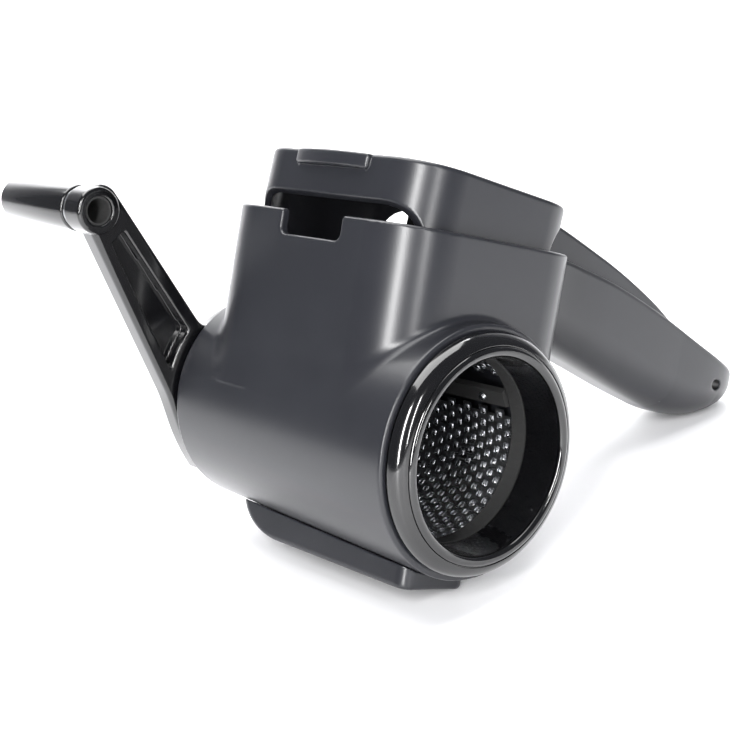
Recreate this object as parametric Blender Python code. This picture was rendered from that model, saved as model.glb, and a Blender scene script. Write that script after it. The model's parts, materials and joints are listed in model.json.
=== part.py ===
"""Rotary cheese grater: barrel housing with hopper and trough handle, pull-out drum, crank and presser.

Metres, +Z up. The grater is drawn upright in its own frame, with the drum axis along Y and the handle
toward +X, then tilted about the drum axis until the foot and the handle's tail stand on Z = 0.
"""

from math import asin, atan2, cos, hypot, pi, radians, sin, sqrt

import bmesh
import bpy
import numpy as np
from mathutils import Vector

# The gap between touching pieces, and how far a cutter runs past a face
GAP = 0.0003
OVERCUT = 0.0040

# Drum axis: Y = 0 is the widest section of the collar, +Y is toward the crank
COLLAR_R = 0.0316
COLLAR_LIP_R = 0.0254
COLLAR_FRONT_Y = -0.0050
BARREL_FRONT_Y = 0.0006
BARREL_REAR_Y = 0.0915
BARREL_FRONT_R = 0.0331
BARREL_REAR_R = 0.0302
BARREL_WALL = 0.0024
REAR_WALL = 0.0027
SHAFT_BORE_R = 0.0075

# Hopper, in plan and height above the drum axis
HOPPER_X = (-0.0296, 0.0387)
HOPPER_Y = (0.0067, 0.0871)
HOPPER_CORNER = 0.0175
HOPPER_WALL = 0.0026
RIM_Z = 0.0540
HOPPER_FLOOR_Z = 0.0240
HOPPER_TUCK_Z = (0.0060, 0.0200)
HOPPER_TUCK_X = 0.0315
NOTCH_Y = (0.0330, 0.0572)
NOTCH_Z = 0.0472
MID_Y = (HOPPER_Y[0] + HOPPER_Y[1]) / 2

# Handle: stations along X with the half width, the top and the bottom of the trough
HANDLE_STATIONS = (
    (0.0360, 0.0300, 0.0540, 0.0300),
    (0.0387, 0.0255, 0.0540, 0.0303),
    (0.0415, 0.0212, 0.0540, 0.0301),
    (0.0450, 0.0184, 0.0539, 0.0297),
    (0.0500, 0.0168, 0.0537, 0.0288),
    (0.0570, 0.0160, 0.0532, 0.0276),
    (0.0680, 0.0156, 0.0515, 0.0252),
    (0.0780, 0.0155, 0.0497, 0.0226),
    (0.0880, 0.0154, 0.0474, 0.0199),
    (0.0980, 0.0153, 0.0447, 0.0171),
    (0.1080, 0.0152, 0.0418, 0.0145),
    (0.1180, 0.0150, 0.0386, 0.0121),
)
TAIL_X = 0.1580
TAIL_END_HALF = 0.0034
TAIL_CENTRE = (0.1320, 0.0252)
TAIL_REACH = (0.0285, 0.0265)
TAIL_DEPTH = 0.0150
TAIL_STEPS = 14
TROUGH_HALF = 0.0130
TROUGH_END_X = 0.1285
TROUGH_FLOOR = 0.0026
ARM_SLOT_Z = 0.0430
CORD_HOLE_R = 0.0016

# Foot under the barrel
FOOT_HALF = 0.0113
FOOT_Z = -0.0373
FOOT_Y = (0.0075, 0.0798)
FOOT_TOP_Z = -0.0280
FOOT_TREAD = 0.0022
FOOT_EDGE = 0.0006

# Presser, drawn with its top level, turned up by PRESSER_REST about its hinge
HINGE = (0.1190, 0.0320)
PRESSER_REST = radians(4.3)
HEAD_X = (-0.0260, 0.0354)
HEAD_Y = (MID_Y - 0.0358, MID_Y + 0.0358)
HEAD_CORNER = 0.0149
HEAD_TOP_Z = 0.0598
HEAD_BOTTOM_Z = 0.0335
HEAD_WALL = 0.0023
HEAD_PLATE = 0.0025
BAND_LEFT_Z = 0.0487
BAND_RIGHT_Z = 0.0550
WEB_X = (-0.0195, 0.0250)
WINDOW_R = 0.0095
ARM_HALF = 0.0125
ARM_STATIONS = (
    (0.0330, 0.0597, 0.0480),
    (0.0385, 0.0595, 0.0470),
    (0.0430, 0.0591, 0.0466),
    (0.0495, 0.0584, 0.0456),
    (0.0595, 0.0565, 0.0435),
    (0.0693, 0.0543, 0.0412),
    (0.0776, 0.0524, 0.0392),
    (0.0859, 0.0502, 0.0368),
    (0.0948, 0.0475, 0.0338),
    (0.1037, 0.0445, 0.0305),
    (0.1110, 0.0415, 0.0278),
    (0.1150, 0.0397, 0.0262),
)
ARM_FLARE = (
    (0.0330, 0.0225),
    (0.0356, 0.0215),
    (0.0372, 0.0186),
    (0.0392, 0.0159),
    (0.0425, 0.0139),
    (0.0480, 0.0127),
)
FLARE_BOTTOM_Z = 0.0546
ARM_SHELL = 0.0022
HINGE_BOSS_R = 0.0066
HINGE_BOSS_HALF = 0.0118
HINGE_PIN_R = 0.0020
HINGE_PIN_HALF = 0.0140
WASHER_R = 0.0037
LIP_HALF = 0.0145
PLATE_BOTTOM_Z = 0.0315
PLATE_UPSTAND_Z = 0.0530

# Drum
BLADE_R = 0.0264
BLADE_WALL = 0.0010
BLADE_Y = (0.0128, 0.0796)
HUB_Y = (0.0799, 0.0852)
SEAM_BAR = (0.0056, 0.0012)
SEAM_ANGLE = radians(33.0)
HEX_R = 0.0046

# Crank
CRANK_FACE_Y = 0.0924
CRANK_DISC_R = 0.0270
CRANK_ARM_T = 0.0070
CRANK_CORNER_R = 0.0040
EYE = (-0.0640, 0.0450)
EYE_R = 0.00645
ARM_END = (-0.0628, 0.0464)
ARM_END_R = 0.0059
POCKET_TIP = ((-0.0541, 0.0406), (-0.0573, 0.0364))
POCKET_R = 0.0328
POCKET_DEPTH = 0.0034
EYE_BORE_R = 0.0042
PIN_BORE_R = 0.0034
GRIP_LENGTH = 0.0357
GRIP_END_R = 0.0061

CIRCLE = 64
SMALL_CIRCLE = 32


# Outlines


def arc(centre, radius, start, end, steps):
    """Points on an arc of a circle, both ends included."""
    turns = [start + (end - start) * i / steps for i in range(steps + 1)]
    return [(centre[0] + radius * cos(t), centre[1] + radius * sin(t)) for t in turns]


def rounded_rectangle(x, y, corner, steps=8):
    """A rectangle with round corners, counter-clockwise from its right side."""
    corners = (
        ((x[1] - corner, y[1] - corner), 0.0),
        ((x[0] + corner, y[1] - corner), pi / 2),
        ((x[0] + corner, y[0] + corner), pi),
        ((x[1] - corner, y[0] + corner), 1.5 * pi),
    )
    points = []
    for centre, start in corners:
        points += arc(centre, corner, start, start + pi / 2, steps)
    return points


def trough_section(half, top, bottom, steps=6):
    """A U section in Y and Z about the middle plane: a flat top and a deep round bottom."""
    edge = min(0.0012, (top - bottom) * 0.3)
    belly = min(half * 0.82, (top - bottom) * 0.62)
    points = arc((half - belly, bottom + belly), belly, -pi / 2, 0.0, steps)
    points += arc((half - edge, top - edge), edge, 0.0, pi / 2, 2)
    points += arc((-half + edge, top - edge), edge, pi / 2, pi, 2)
    points += arc((-half + belly, bottom + belly), belly, pi, 1.5 * pi, steps)
    return points


# Meshes


def skin(rings, closed=False):
    """A mesh over rings of points, with an end face on each end, or joined end to end."""
    mesh = bmesh.new()
    rows = [[mesh.verts.new(point) for point in ring] for ring in rings]
    pairs = list(zip(rows, rows[1:]))
    if closed:
        pairs.append((rows[-1], rows[0]))
    else:
        mesh.faces.new(rows[0])
        mesh.faces.new(reversed(rows[-1]))
    count = len(rows[0])
    for first, second in pairs:
        for i in range(count):
            j = (i + 1) % count
            mesh.faces.new((first[i], second[i], second[j], first[j]))
    bmesh.ops.recalc_face_normals(mesh, faces=mesh.faces)
    return mesh


def upright_prism(outline, low, high):
    """An outline in X and Y, raised from low to high."""
    return skin([[(x, y, z) for x, y in outline] for z in (low, high)])


def side_prism(outline, low, high):
    """An outline in X and Z, drawn along Y from low to high."""
    return skin([[(x, y, z) for x, z in outline] for y in (low, high)])


def turned(profile, centre=(0.0, 0.0), steps=CIRCLE):
    """A solid turned about an axis along Y, from (radius, y) pairs that run from end to end."""
    angles = [2 * pi * i / steps for i in range(steps)]
    x, z = centre
    return skin([[(x + r * cos(a), y, z + r * sin(a)) for a in angles] for r, y in profile])


def turned_ring(profile, centre=(0.0, 0.0), steps=CIRCLE):
    """A ring turned about an axis along Y, from a closed loop of (radius, y) pairs."""
    angles = [2 * pi * i / steps for i in range(steps)]
    x, z = centre
    rings = [[(x + r * cos(a), y, z + r * sin(a)) for r, y in profile] for a in angles]
    return skin(rings, closed=True)


def plain_ring(inner, outer, low, high, centre=(0.0, 0.0), steps=CIRCLE):
    return turned_ring([(inner, low), (outer, low), (outer, high), (inner, high)], centre, steps)


# Objects


def material(name, colour, roughness, metallic=0.0):
    made = bpy.data.materials.new(name)
    made.use_nodes = True
    shader = made.node_tree.nodes["Principled BSDF"]
    shader.inputs["Base Color"].default_value = (*colour, 1.0)
    shader.inputs["Roughness"].default_value = roughness
    shader.inputs["Metallic"].default_value = metallic
    return made


def empty(name, parent, place):
    made = bpy.data.objects.new(name, None)
    made.location = place
    made.parent = parent
    bpy.context.scene.collection.objects.link(made)
    return made


def solid(name, mesh, finish, parent, origin):
    """An object whose mesh was drawn in the grater's frame; its origin is its parent's place there."""
    bmesh.ops.translate(mesh, verts=mesh.verts, vec=-Vector(origin))
    data = bpy.data.meshes.new(name)
    mesh.to_mesh(data)
    mesh.free()
    data.shade_smooth()
    data.set_sharp_from_angle(angle=radians(30.0))
    made = bpy.data.objects.new(name, data)
    if finish is not None:
        data.materials.append(finish)
    made.parent = parent
    bpy.context.scene.collection.objects.link(made)
    return made


def shape(target, mesh, operation, origin):
    """A Boolean on target with a hidden helper."""
    helper = solid(f"{target.name}_{operation.lower()}", mesh, None, target.parent, origin)
    helper.hide_render = True
    helper.display_type = "WIRE"
    modifier = target.modifiers.new(helper.name, "BOOLEAN")
    modifier.operation = operation
    modifier.object = helper
    modifier.solver = "EXACT"


# Housing


def barrel_radius(y):
    along = (y - BARREL_FRONT_Y) / (BARREL_REAR_Y - BARREL_FRONT_Y)
    return BARREL_FRONT_R + (BARREL_REAR_R - BARREL_FRONT_R) * along


def barrel_outside():
    edge = 0.0015
    rear = [
        (BARREL_REAR_R - edge + edge * cos(t), BARREL_REAR_Y - edge + edge * sin(t))
        for t in (0.0, pi / 6, pi / 3, pi / 2)
    ]
    return turned([(BARREL_FRONT_R, BARREL_FRONT_Y)] + rear)


def barrel_inside():
    rear_y = BARREL_REAR_Y - REAR_WALL
    front = (BARREL_FRONT_R - BARREL_WALL, BARREL_FRONT_Y - 0.002)
    return turned([front, (barrel_radius(rear_y) - BARREL_WALL, rear_y)])


def hopper_outline(inset, right):
    x = (HOPPER_X[0] + inset, right - inset)
    y = (HOPPER_Y[0] + inset, HOPPER_Y[1] - inset)
    return rounded_rectangle(x, y, HOPPER_CORNER - inset)


def hopper_outside():
    levels = (
        (HOPPER_TUCK_Z[0], HOPPER_TUCK_X),
        (HOPPER_TUCK_Z[1], HOPPER_X[1]),
        (RIM_Z, HOPPER_X[1]),
    )
    return skin([[(x, y, z) for x, y in hopper_outline(0.0, right)] for z, right in levels])


def tail_bottom(x):
    """The round underside of the tail, which the grater rests on: half an ellipse on each side."""
    reach = TAIL_REACH[x > TAIL_CENTRE[0]]
    across = (x - TAIL_CENTRE[0]) / reach
    return TAIL_CENTRE[1] - TAIL_DEPTH * sqrt(1.0 - across**2)


def tail_stations():
    """The tail narrows in plan and in side view to its blunt end."""
    start, start_half, start_top, _ = HANDLE_STATIONS[-1]
    stations = []
    for i in range(1, TAIL_STEPS + 1):
        along = sin(i / TAIL_STEPS * pi / 2)
        x = start + (TAIL_X - start) * along
        half = TAIL_END_HALF + (start_half - TAIL_END_HALF) * sqrt(1.0 - along**4)
        top = start_top - 0.352 * (x - start) + 1.2 * (x - start) ** 2 - 0.0012 * along**14
        stations.append((x, half, top, tail_bottom(x)))
    return stations


def handle_outside():
    stations = list(HANDLE_STATIONS) + tail_stations()
    rings = []
    for x, half, top, bottom in stations:
        rings.append([(x, MID_Y + y, z) for y, z in trough_section(half, top, bottom)])
    return skin(rings)


def arm_slot():
    """The opening in the hopper's wall that the presser's arm passes through."""
    outline = [
        (HOPPER_X[1] - 2 * HOPPER_WALL, ARM_SLOT_Z),
        (HANDLE_STATIONS[2][0], ARM_SLOT_Z),
        (HANDLE_STATIONS[2][0], RIM_Z + OVERCUT),
        (HOPPER_X[1] - 2 * HOPPER_WALL, RIM_Z + OVERCUT),
    ]
    return side_prism(outline, MID_Y - TROUGH_HALF, MID_Y + TROUGH_HALF)


def trough_inside():
    """The open top of the handle, from behind the hopper's wall to just behind the hinge."""
    start_x = HOPPER_X[1] + 0.002
    floors = [(x, bottom + TROUGH_FLOOR) for x, _, _, bottom in HANDLE_STATIONS if x > start_x]
    floors.insert(0, (HOPPER_X[1] + 0.0013, floors[0][1]))
    floors.append((TROUGH_END_X, HINGE[1] - HINGE_BOSS_R - 0.0022))
    rings = []
    for x, floor in floors:
        section = trough_section(TROUGH_HALF, RIM_Z + OVERCUT, floor)
        rings.append([(x, MID_Y + y, z) for y, z in section])
    return skin(rings)


def rim_notch():
    corner = 0.0020
    low = arc((NOTCH_Y[0] + corner, NOTCH_Z + corner), corner, pi, 1.5 * pi, 4)
    high = arc((NOTCH_Y[1] - corner, NOTCH_Z + corner), corner, 1.5 * pi, 2 * pi, 4)
    outline = low + high + [(NOTCH_Y[1], RIM_Z + OVERCUT), (NOTCH_Y[0], RIM_Z + OVERCUT)]
    reach = (HOPPER_X[0] - OVERCUT, HOPPER_X[0] + 0.012)
    return skin([[(x, y, z) for y, z in outline] for x in reach])


def cord_hole():
    """The hanging hole goes slantwise through the corner of the tail, from its side to its end."""
    mesh = turned([(CORD_HOLE_R, -0.03), (CORD_HOLE_R, 0.03)], steps=16)
    turn = radians(-40.0)
    for vert in mesh.verts:
        x, y, z = vert.co
        vert.co = (x * cos(turn) - y * sin(turn), x * sin(turn) + y * cos(turn), z)
    bmesh.ops.translate(mesh, verts=mesh.verts, vec=(0.1475, MID_Y - 0.0065, 0.0225))
    return mesh


def build_housing(parent, finish):
    origin = (0.0, 0.0, 0.0)
    housing = solid("housing_shell", barrel_outside(), finish, parent, origin)
    shape(housing, hopper_outside(), "UNION", origin)
    shape(housing, handle_outside(), "UNION", origin)
    shape(housing, barrel_inside(), "DIFFERENCE", origin)
    inside = upright_prism(hopper_outline(HOPPER_WALL, HOPPER_X[1]), HOPPER_FLOOR_Z, RIM_Z + OVERCUT)
    shape(housing, inside, "DIFFERENCE", origin)
    shape(housing, arm_slot(), "DIFFERENCE", origin)
    shape(housing, trough_inside(), "DIFFERENCE", origin)
    shape(housing, rim_notch(), "DIFFERENCE", origin)
    bore = turned([(SHAFT_BORE_R, BARREL_REAR_Y - 0.006), (SHAFT_BORE_R, BARREL_REAR_Y + 0.002)])
    shape(housing, bore, "DIFFERENCE", origin)
    reach = HINGE_PIN_HALF + GAP
    pin_profile = [(HINGE_PIN_R + GAP, MID_Y - reach), (HINGE_PIN_R + GAP, MID_Y + reach)]
    pin_holes = turned(pin_profile, HINGE, SMALL_CIRCLE)
    shape(housing, pin_holes, "DIFFERENCE", origin)
    shape(housing, cord_hole(), "DIFFERENCE", origin)


def build_foot(parent, finish, tread_finish):
    """The foot's body hugs the barrel; a softer tread is let into its underside."""
    origin = (0.0, 0.0, 0.0)
    x = (-FOOT_HALF, FOOT_HALF)
    levels = (
        (FOOT_Z, FOOT_EDGE, FOOT_Y[1] - 0.0150),
        (FOOT_Z + FOOT_EDGE, 0.0, FOOT_Y[1] - 0.0120),
        (FOOT_Z + 0.0016, 0.0, FOOT_Y[1] - 0.0085),
        (FOOT_Z + 0.0031, 0.0, FOOT_Y[1] - 0.0052),
        (FOOT_Z + 0.0055, 0.0, FOOT_Y[1] - 0.0022),
        (FOOT_TOP_Z, 0.0, FOOT_Y[1]),
    )
    rings = []
    for z, inset, rear in levels:
        outline = rounded_rectangle((x[0] + inset, x[1] - inset), (FOOT_Y[0] + inset, rear), 0.004, 5)
        rings.append([(px, py, z) for px, py in outline])
    foot = solid("foot_body", skin(rings), finish, parent, origin)
    seat = turned(
        [(BARREL_FRONT_R + GAP, BARREL_FRONT_Y), (BARREL_REAR_R + GAP, BARREL_REAR_Y)]
    )
    shape(foot, seat, "DIFFERENCE", origin)
    recess_x = (x[0] + 0.0026, x[1] - 0.0026)
    recess_y = (FOOT_Y[0] + 0.0040, FOOT_Y[1] - 0.0185)
    recess = rounded_rectangle(recess_x, recess_y, 0.0030, 5)
    shape(foot, upright_prism(recess, FOOT_Z - 0.002, FOOT_Z + FOOT_TREAD), "DIFFERENCE", origin)
    tread_x = (recess_x[0] + GAP, recess_x[1] - GAP)
    tread_y = (recess_y[0] + GAP, recess_y[1] - GAP)
    tread = upright_prism(
        rounded_rectangle(tread_x, tread_y, 0.0027, 5), FOOT_Z + 0.0001, FOOT_Z + FOOT_TREAD - GAP
    )
    solid("foot_tread", tread, tread_finish, parent, origin)


def build_bearings(parent, finish):
    origin = (0.0, 0.0, 0.0)
    inner = BARREL_FRONT_R - BARREL_WALL
    ring = plain_ring(0.0290, inner - GAP - 0.0004, 0.0018, 0.0106)
    solid("front_bearing_ring", ring, finish, parent, origin)
    profile = [
        (0.0052, BARREL_REAR_Y - REAR_WALL - 0.0014),
        (0.0098, BARREL_REAR_Y - REAR_WALL - 0.0014),
        (0.0098, BARREL_REAR_Y - REAR_WALL - GAP),
        (SHAFT_BORE_R - GAP, BARREL_REAR_Y - REAR_WALL - GAP),
        (SHAFT_BORE_R - GAP, BARREL_REAR_Y + 0.0003),
        (0.0052, BARREL_REAR_Y + 0.0003),
    ]
    solid("rear_bearing_bush", turned_ring(profile, steps=48), finish, parent, origin)


# Drum


def collar_profile():
    """A rolled outer edge, a fine step, a bevelled inner band and a funnel down to the drum."""
    roll = 0.0042
    rim = arc((COLLAR_R - roll, -0.0002), roll, 0.0, -pi / 2 + 0.12, 8)
    outside = [(COLLAR_R - 0.0006, BARREL_FRONT_Y - GAP), (COLLAR_R, BARREL_FRONT_Y - 0.0006)]
    band = [(0.0276, -0.0042), (0.0272, COLLAR_FRONT_Y), (0.0264, COLLAR_FRONT_Y)]
    lip = [(COLLAR_LIP_R, COLLAR_FRONT_Y + 0.0009), (0.0250, 0.0005), (0.0249, 0.0075)]
    sleeve = [(0.0284, 0.0075), (0.0284, BARREL_FRONT_Y - GAP)]
    return outside + rim + band + lip + sleeve


def build_drum(parent, gloss, black, steel, origin):
    solid("drum_collar", turned_ring(collar_profile()), gloss, parent, origin)
    ring = plain_ring(0.0246, 0.0284, 0.0078, BLADE_Y[0] - GAP)
    solid("drum_front_ring", ring, black, parent, origin)
    blade = plain_ring(BLADE_R - BLADE_WALL, BLADE_R, *BLADE_Y)
    solid("drum_blade", blade, steel, parent, origin)
    hub = [
        (HEX_R + 0.0026, 0.0742),
        (HEX_R + 0.0032, HUB_Y[0]),
        (BLADE_R, HUB_Y[0]),
        (BLADE_R + 0.0002, HUB_Y[1] - 0.0012),
        (0.0240, HUB_Y[1] - 0.0004),
        (0.0110, HUB_Y[1]),
    ]
    hub_object = solid("drum_rear_hub", turned(hub), black, parent, origin)
    socket = turned([(HEX_R + GAP, 0.0758), (HEX_R + GAP, HUB_Y[1] + 0.003)], steps=6)
    shape(hub_object, socket, "DIFFERENCE", origin)
    build_seam_bar(parent, black, steel, origin)


def seam_frame(radius, sideways, y):
    """A point near the seam bar from its distance to the axis, its sideways offset and y."""
    c, s = cos(SEAM_ANGLE), sin(SEAM_ANGLE)
    return (radius * c - sideways * s, y, radius * s + sideways * c)


def build_seam_bar(parent, black, steel, origin):
    """A bar inside the drum covers the joint of the rolled blade; rivets hold it."""
    half, thick = SEAM_BAR[0] / 2, SEAM_BAR[1]
    outer = BLADE_R - BLADE_WALL - GAP
    top = [(sqrt(outer**2 - w**2), w) for w in np.linspace(-half, half, 7)]
    bottom = [(outer - thick - 0.0004, half - 0.0006), (outer - thick - 0.0004, -half + 0.0006)]
    rings = []
    for y in (BLADE_Y[0] + GAP, BLADE_Y[1] - GAP):
        rings.append([seam_frame(r, w, y) for r, w in top + bottom])
    solid("drum_seam_bar", skin(rings), black, parent, origin)
    for number, y in enumerate(np.linspace(BLADE_Y[0] + 0.008, BLADE_Y[1] - 0.008, 4), 1):
        rings = []
        for radius, size in ((outer - thick - 0.0015, 0.0009), (outer - thick - 0.0007, 0.0013)):
            turns = [2 * pi * i / 12 for i in range(12)]
            rings.append([seam_frame(radius, size * cos(t), y + size * sin(t)) for t in turns])
        solid(f"seam_rivet_{number}", skin(rings), steel, parent, origin)


# Crank


def crank_outline():
    """The disc with its arm: one edge is tangent to the disc, the other meets it in a round corner."""
    end = Vector(ARM_END)
    ahead = atan2(ARM_END[1], ARM_END[0])
    lower = ahead + pi / 2 - asin((CRANK_DISC_R - ARM_END_R) / end.length)
    upper = ahead - pi / 2 - radians(6.9)
    normal = Vector((cos(upper), sin(upper)))
    inward = Vector((sin(upper), -cos(upper)))
    start = end + normal * (ARM_END_R + CRANK_CORNER_R)
    half = start.dot(inward)
    far = CRANK_DISC_R + CRANK_CORNER_R
    centre = start - inward * (half + sqrt(half**2 - start.length_squared + far**2))
    touch = atan2(centre.y, centre.x)
    disc = arc((0.0, 0.0), CRANK_DISC_R, lower, touch + 2 * pi, 44)
    corner = arc(centre, CRANK_CORNER_R, touch + 3 * pi, upper + 3 * pi, 5)
    return disc + corner[1:] + arc(ARM_END, ARM_END_R, upper, lower, 14)


def shrink(outline, inset):
    """The outline moved inward by inset, worked out from its edge normals."""
    points = []
    count = len(outline)
    for i, (x, z) in enumerate(outline):
        before, after = outline[i - 1], outline[(i + 1) % count]
        edge = Vector((after[0] - before[0], after[1] - before[1])).normalized()
        points.append((x - edge.y * inset, z + edge.x * inset))
    return points


def build_crank(parent, gloss, black, steel, origin):
    outline = crank_outline()
    edge = 0.0008
    levels = (
        (CRANK_FACE_Y, edge),
        (CRANK_FACE_Y + edge, 0.0),
        (CRANK_FACE_Y + CRANK_ARM_T - edge, 0.0),
        (CRANK_FACE_Y + CRANK_ARM_T, edge),
    )
    rings = [[(x, y, z) for x, z in shrink(outline, inset)] for y, inset in levels]
    arm = solid("crank_arm", skin(rings), gloss, parent, origin)
    back_y = CRANK_FACE_Y + CRANK_ARM_T
    profile = [
        (EYE_R - 0.0006, CRANK_FACE_Y - 0.0012),
        (EYE_R, CRANK_FACE_Y - 0.0006),
        (EYE_R, back_y - edge),
        (EYE_R - edge, back_y),
    ]
    boss = turned(profile, EYE, SMALL_CIRCLE)
    shape(arm, boss, "UNION", origin)
    bore_y = (CRANK_FACE_Y - 0.004, CRANK_FACE_Y + 0.012)
    bore = turned([(EYE_BORE_R, bore_y[0]), (EYE_BORE_R, bore_y[1])], EYE, SMALL_CIRCLE)
    shape(arm, bore, "DIFFERENCE", origin)
    shape(arm, crank_pocket(), "DIFFERENCE", origin)
    hole = turned([(0.0050, CRANK_FACE_Y - 0.002), (0.0050, back_y + 0.002)], steps=48)
    shape(arm, hole, "DIFFERENCE", origin)
    build_spindle(parent, black, steel, origin)


def crank_pocket():
    """The recess along the arm on the side that faces the hopper, ending in an arc round the disc."""
    near = arc((0.0, 0.0), POCKET_R, radians(171.4), radians(148.5), 6)
    return side_prism([*POCKET_TIP, *near], CRANK_FACE_Y - 0.002, CRANK_FACE_Y + POCKET_DEPTH)


def build_spindle(parent, black, steel, origin):
    """The spindle carries the crank: a hexagon drives the hub, a screw holds the arm on it."""
    front = 0.0768
    seat_y = CRANK_FACE_Y - 0.0003 + CRANK_ARM_T
    spindle = solid(
        "drive_spindle",
        turned([(0.0047, HUB_Y[1] + 0.0005), (0.0047, seat_y - 0.0016)], steps=48),
        black,
        parent,
        origin,
    )
    hexagon = turned(
        [(HEX_R - 0.0009, front), (HEX_R, front + 0.0009), (HEX_R, HUB_Y[1] + 0.0010)], steps=6
    )
    shape(spindle, hexagon, "UNION", origin)
    thread = turned([(0.0016, seat_y - 0.0080), (0.0016, seat_y + 0.001)], steps=24)
    shape(spindle, thread, "DIFFERENCE", origin)
    head_y = seat_y - 0.0016 + GAP
    screw = [
        (0.0012, seat_y - 0.0076),
        (0.0012, head_y),
        (0.0042, head_y),
        (0.0042, head_y + 0.0008),
        (0.0026, head_y + 0.0016),
    ]
    screw_object = solid("crank_screw", turned(screw, steps=24), steel, parent, origin)
    for turn in (0.0, pi / 2):
        c, s = cos(turn), sin(turn)
        corners = [(-0.0018, -0.0004), (0.0018, -0.0004), (0.0018, 0.0004), (-0.0018, 0.0004)]
        cross = [(x * c - z * s, x * s + z * c) for x, z in corners]
        shape(screw_object, side_prism(cross, head_y + 0.0006, head_y + 0.003), "DIFFERENCE", origin)
    cap_y = CRANK_FACE_Y + CRANK_ARM_T + GAP
    cap = [(0.0110, cap_y), (0.0118, cap_y + 0.0006), (0.0118, cap_y + 0.0012), (0.0100, cap_y + 0.0020)]
    cap_object = solid("crank_cap", turned(cap, steps=48), black, parent, origin)
    dish = turned([(0.0036, cap_y - 0.001), (0.0036, cap_y + 0.0008)], steps=24)
    shape(cap_object, dish, "DIFFERENCE", origin)


def build_grip(parent, crank_parent, black, gloss, steel, origin, crank_origin):
    """A hollow pin fixed in the crank's eye carries a sleeve that turns, closed by an end cap."""
    start = CRANK_FACE_Y + CRANK_ARM_T
    end = start + GRIP_LENGTH
    pin = [
        (PIN_BORE_R, CRANK_FACE_Y - 0.0006),
        (EYE_BORE_R - GAP, CRANK_FACE_Y - 0.0006),
        (EYE_BORE_R - GAP, start + 0.0002),
        (EYE_BORE_R - GAP, end - 0.0030),
        (PIN_BORE_R - 0.0008, end - 0.0030),
        (PIN_BORE_R - 0.0008, start + 0.0040),
    ]
    pin_mesh = turned_ring(pin, EYE, SMALL_CIRCLE)
    solid("grip_pin", pin_mesh, black, crank_parent, crank_origin)
    washer_r = (EYE_BORE_R + 0.0002, EYE_R - 0.0005)
    washer = plain_ring(*washer_r, start + GAP, start + 0.0009, EYE, SMALL_CIRCLE)
    solid("grip_washer", washer, steel, crank_parent, crank_origin)
    sleeve_start = start + 0.0012
    along = (0.0, 0.06, 0.5, 0.94, 1.0)
    drop = (0.0005, 0.0, 0.0, 0.0, 0.0004)
    outside = []
    for t, inset in zip(along, drop):
        radius = EYE_R + (GRIP_END_R - EYE_R) * t - inset
        outside.append((radius, sleeve_start + (end - sleeve_start) * t))
    bore = EYE_BORE_R + 0.0002
    sleeve = [(bore, sleeve_start)] + outside + [(bore, end)]
    solid("grip_sleeve", turned_ring(sleeve, EYE, SMALL_CIRCLE), gloss, parent, origin)
    cap = [
        (EYE_BORE_R - 0.0002, end - 0.0025),
        (EYE_BORE_R - 0.0002, end + GAP),
        (GRIP_END_R - 0.0006, end + GAP),
        (GRIP_END_R - 0.0012, end + 0.0016),
        (GRIP_END_R - 0.0030, end + 0.0026),
    ]
    solid("grip_end_cap", turned(cap, EYE, SMALL_CIRCLE), gloss, parent, origin)


# Presser


def head_block(inset, low, high):
    x = (HEAD_X[0] + inset, HEAD_X[1] - inset)
    y = (HEAD_Y[0] + inset, HEAD_Y[1] - inset)
    return upright_prism(rounded_rectangle(x, y, HEAD_CORNER - inset), low, high)


def side_opening(edge_x, top, toward):
    """The opening below the head's band, with an arched corner where it meets the front and rear walls."""
    centre = (edge_x + toward * WINDOW_R, top - WINDOW_R)
    steps = 6
    corner = []
    for i in range(steps + 1):
        t = i / steps * pi / 2
        corner.append((centre[0] - toward * WINDOW_R * cos(t), centre[1] + WINDOW_R * sin(t)))
    reach = edge_x + toward * 0.030
    outline = [(edge_x, HEAD_BOTTOM_Z - OVERCUT)] + corner
    outline += [(reach, top), (reach, HEAD_BOTTOM_Z - OVERCUT)]
    return side_prism(outline, HEAD_Y[0] - OVERCUT, HEAD_Y[1] + OVERCUT)


def arm_outside():
    rings = []
    for x, top, bottom in ARM_STATIONS:
        section = rounded_rectangle((-ARM_HALF, ARM_HALF), (bottom, top), 0.0016, 3)
        rings.append([(x, MID_Y + y, z) for y, z in section])
    return skin(rings)


def arm_flare():
    """The arm widens into the head above the rim."""
    rings = []
    for x, half in ARM_FLARE:
        top = np.interp(x, [row[0] for row in ARM_STATIONS], [row[1] for row in ARM_STATIONS])
        section = rounded_rectangle((-half, half), (FLARE_BOTTOM_Z, top - 0.0001), 0.0012, 3)
        rings.append([(x, MID_Y + y, z) for y, z in section])
    return skin(rings)


def arm_inside():
    """The hollow under the arm, open below."""
    rings = []
    for x, top, bottom in ARM_STATIONS[3:-2]:
        half = ARM_HALF - ARM_SHELL
        low, high = bottom - 0.004, top - ARM_SHELL
        corners = ((-half, low), (half, low), (half, high), (-half, high))
        rings.append([(x, MID_Y + y, z) for y, z in corners])
    return skin(rings)


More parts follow.
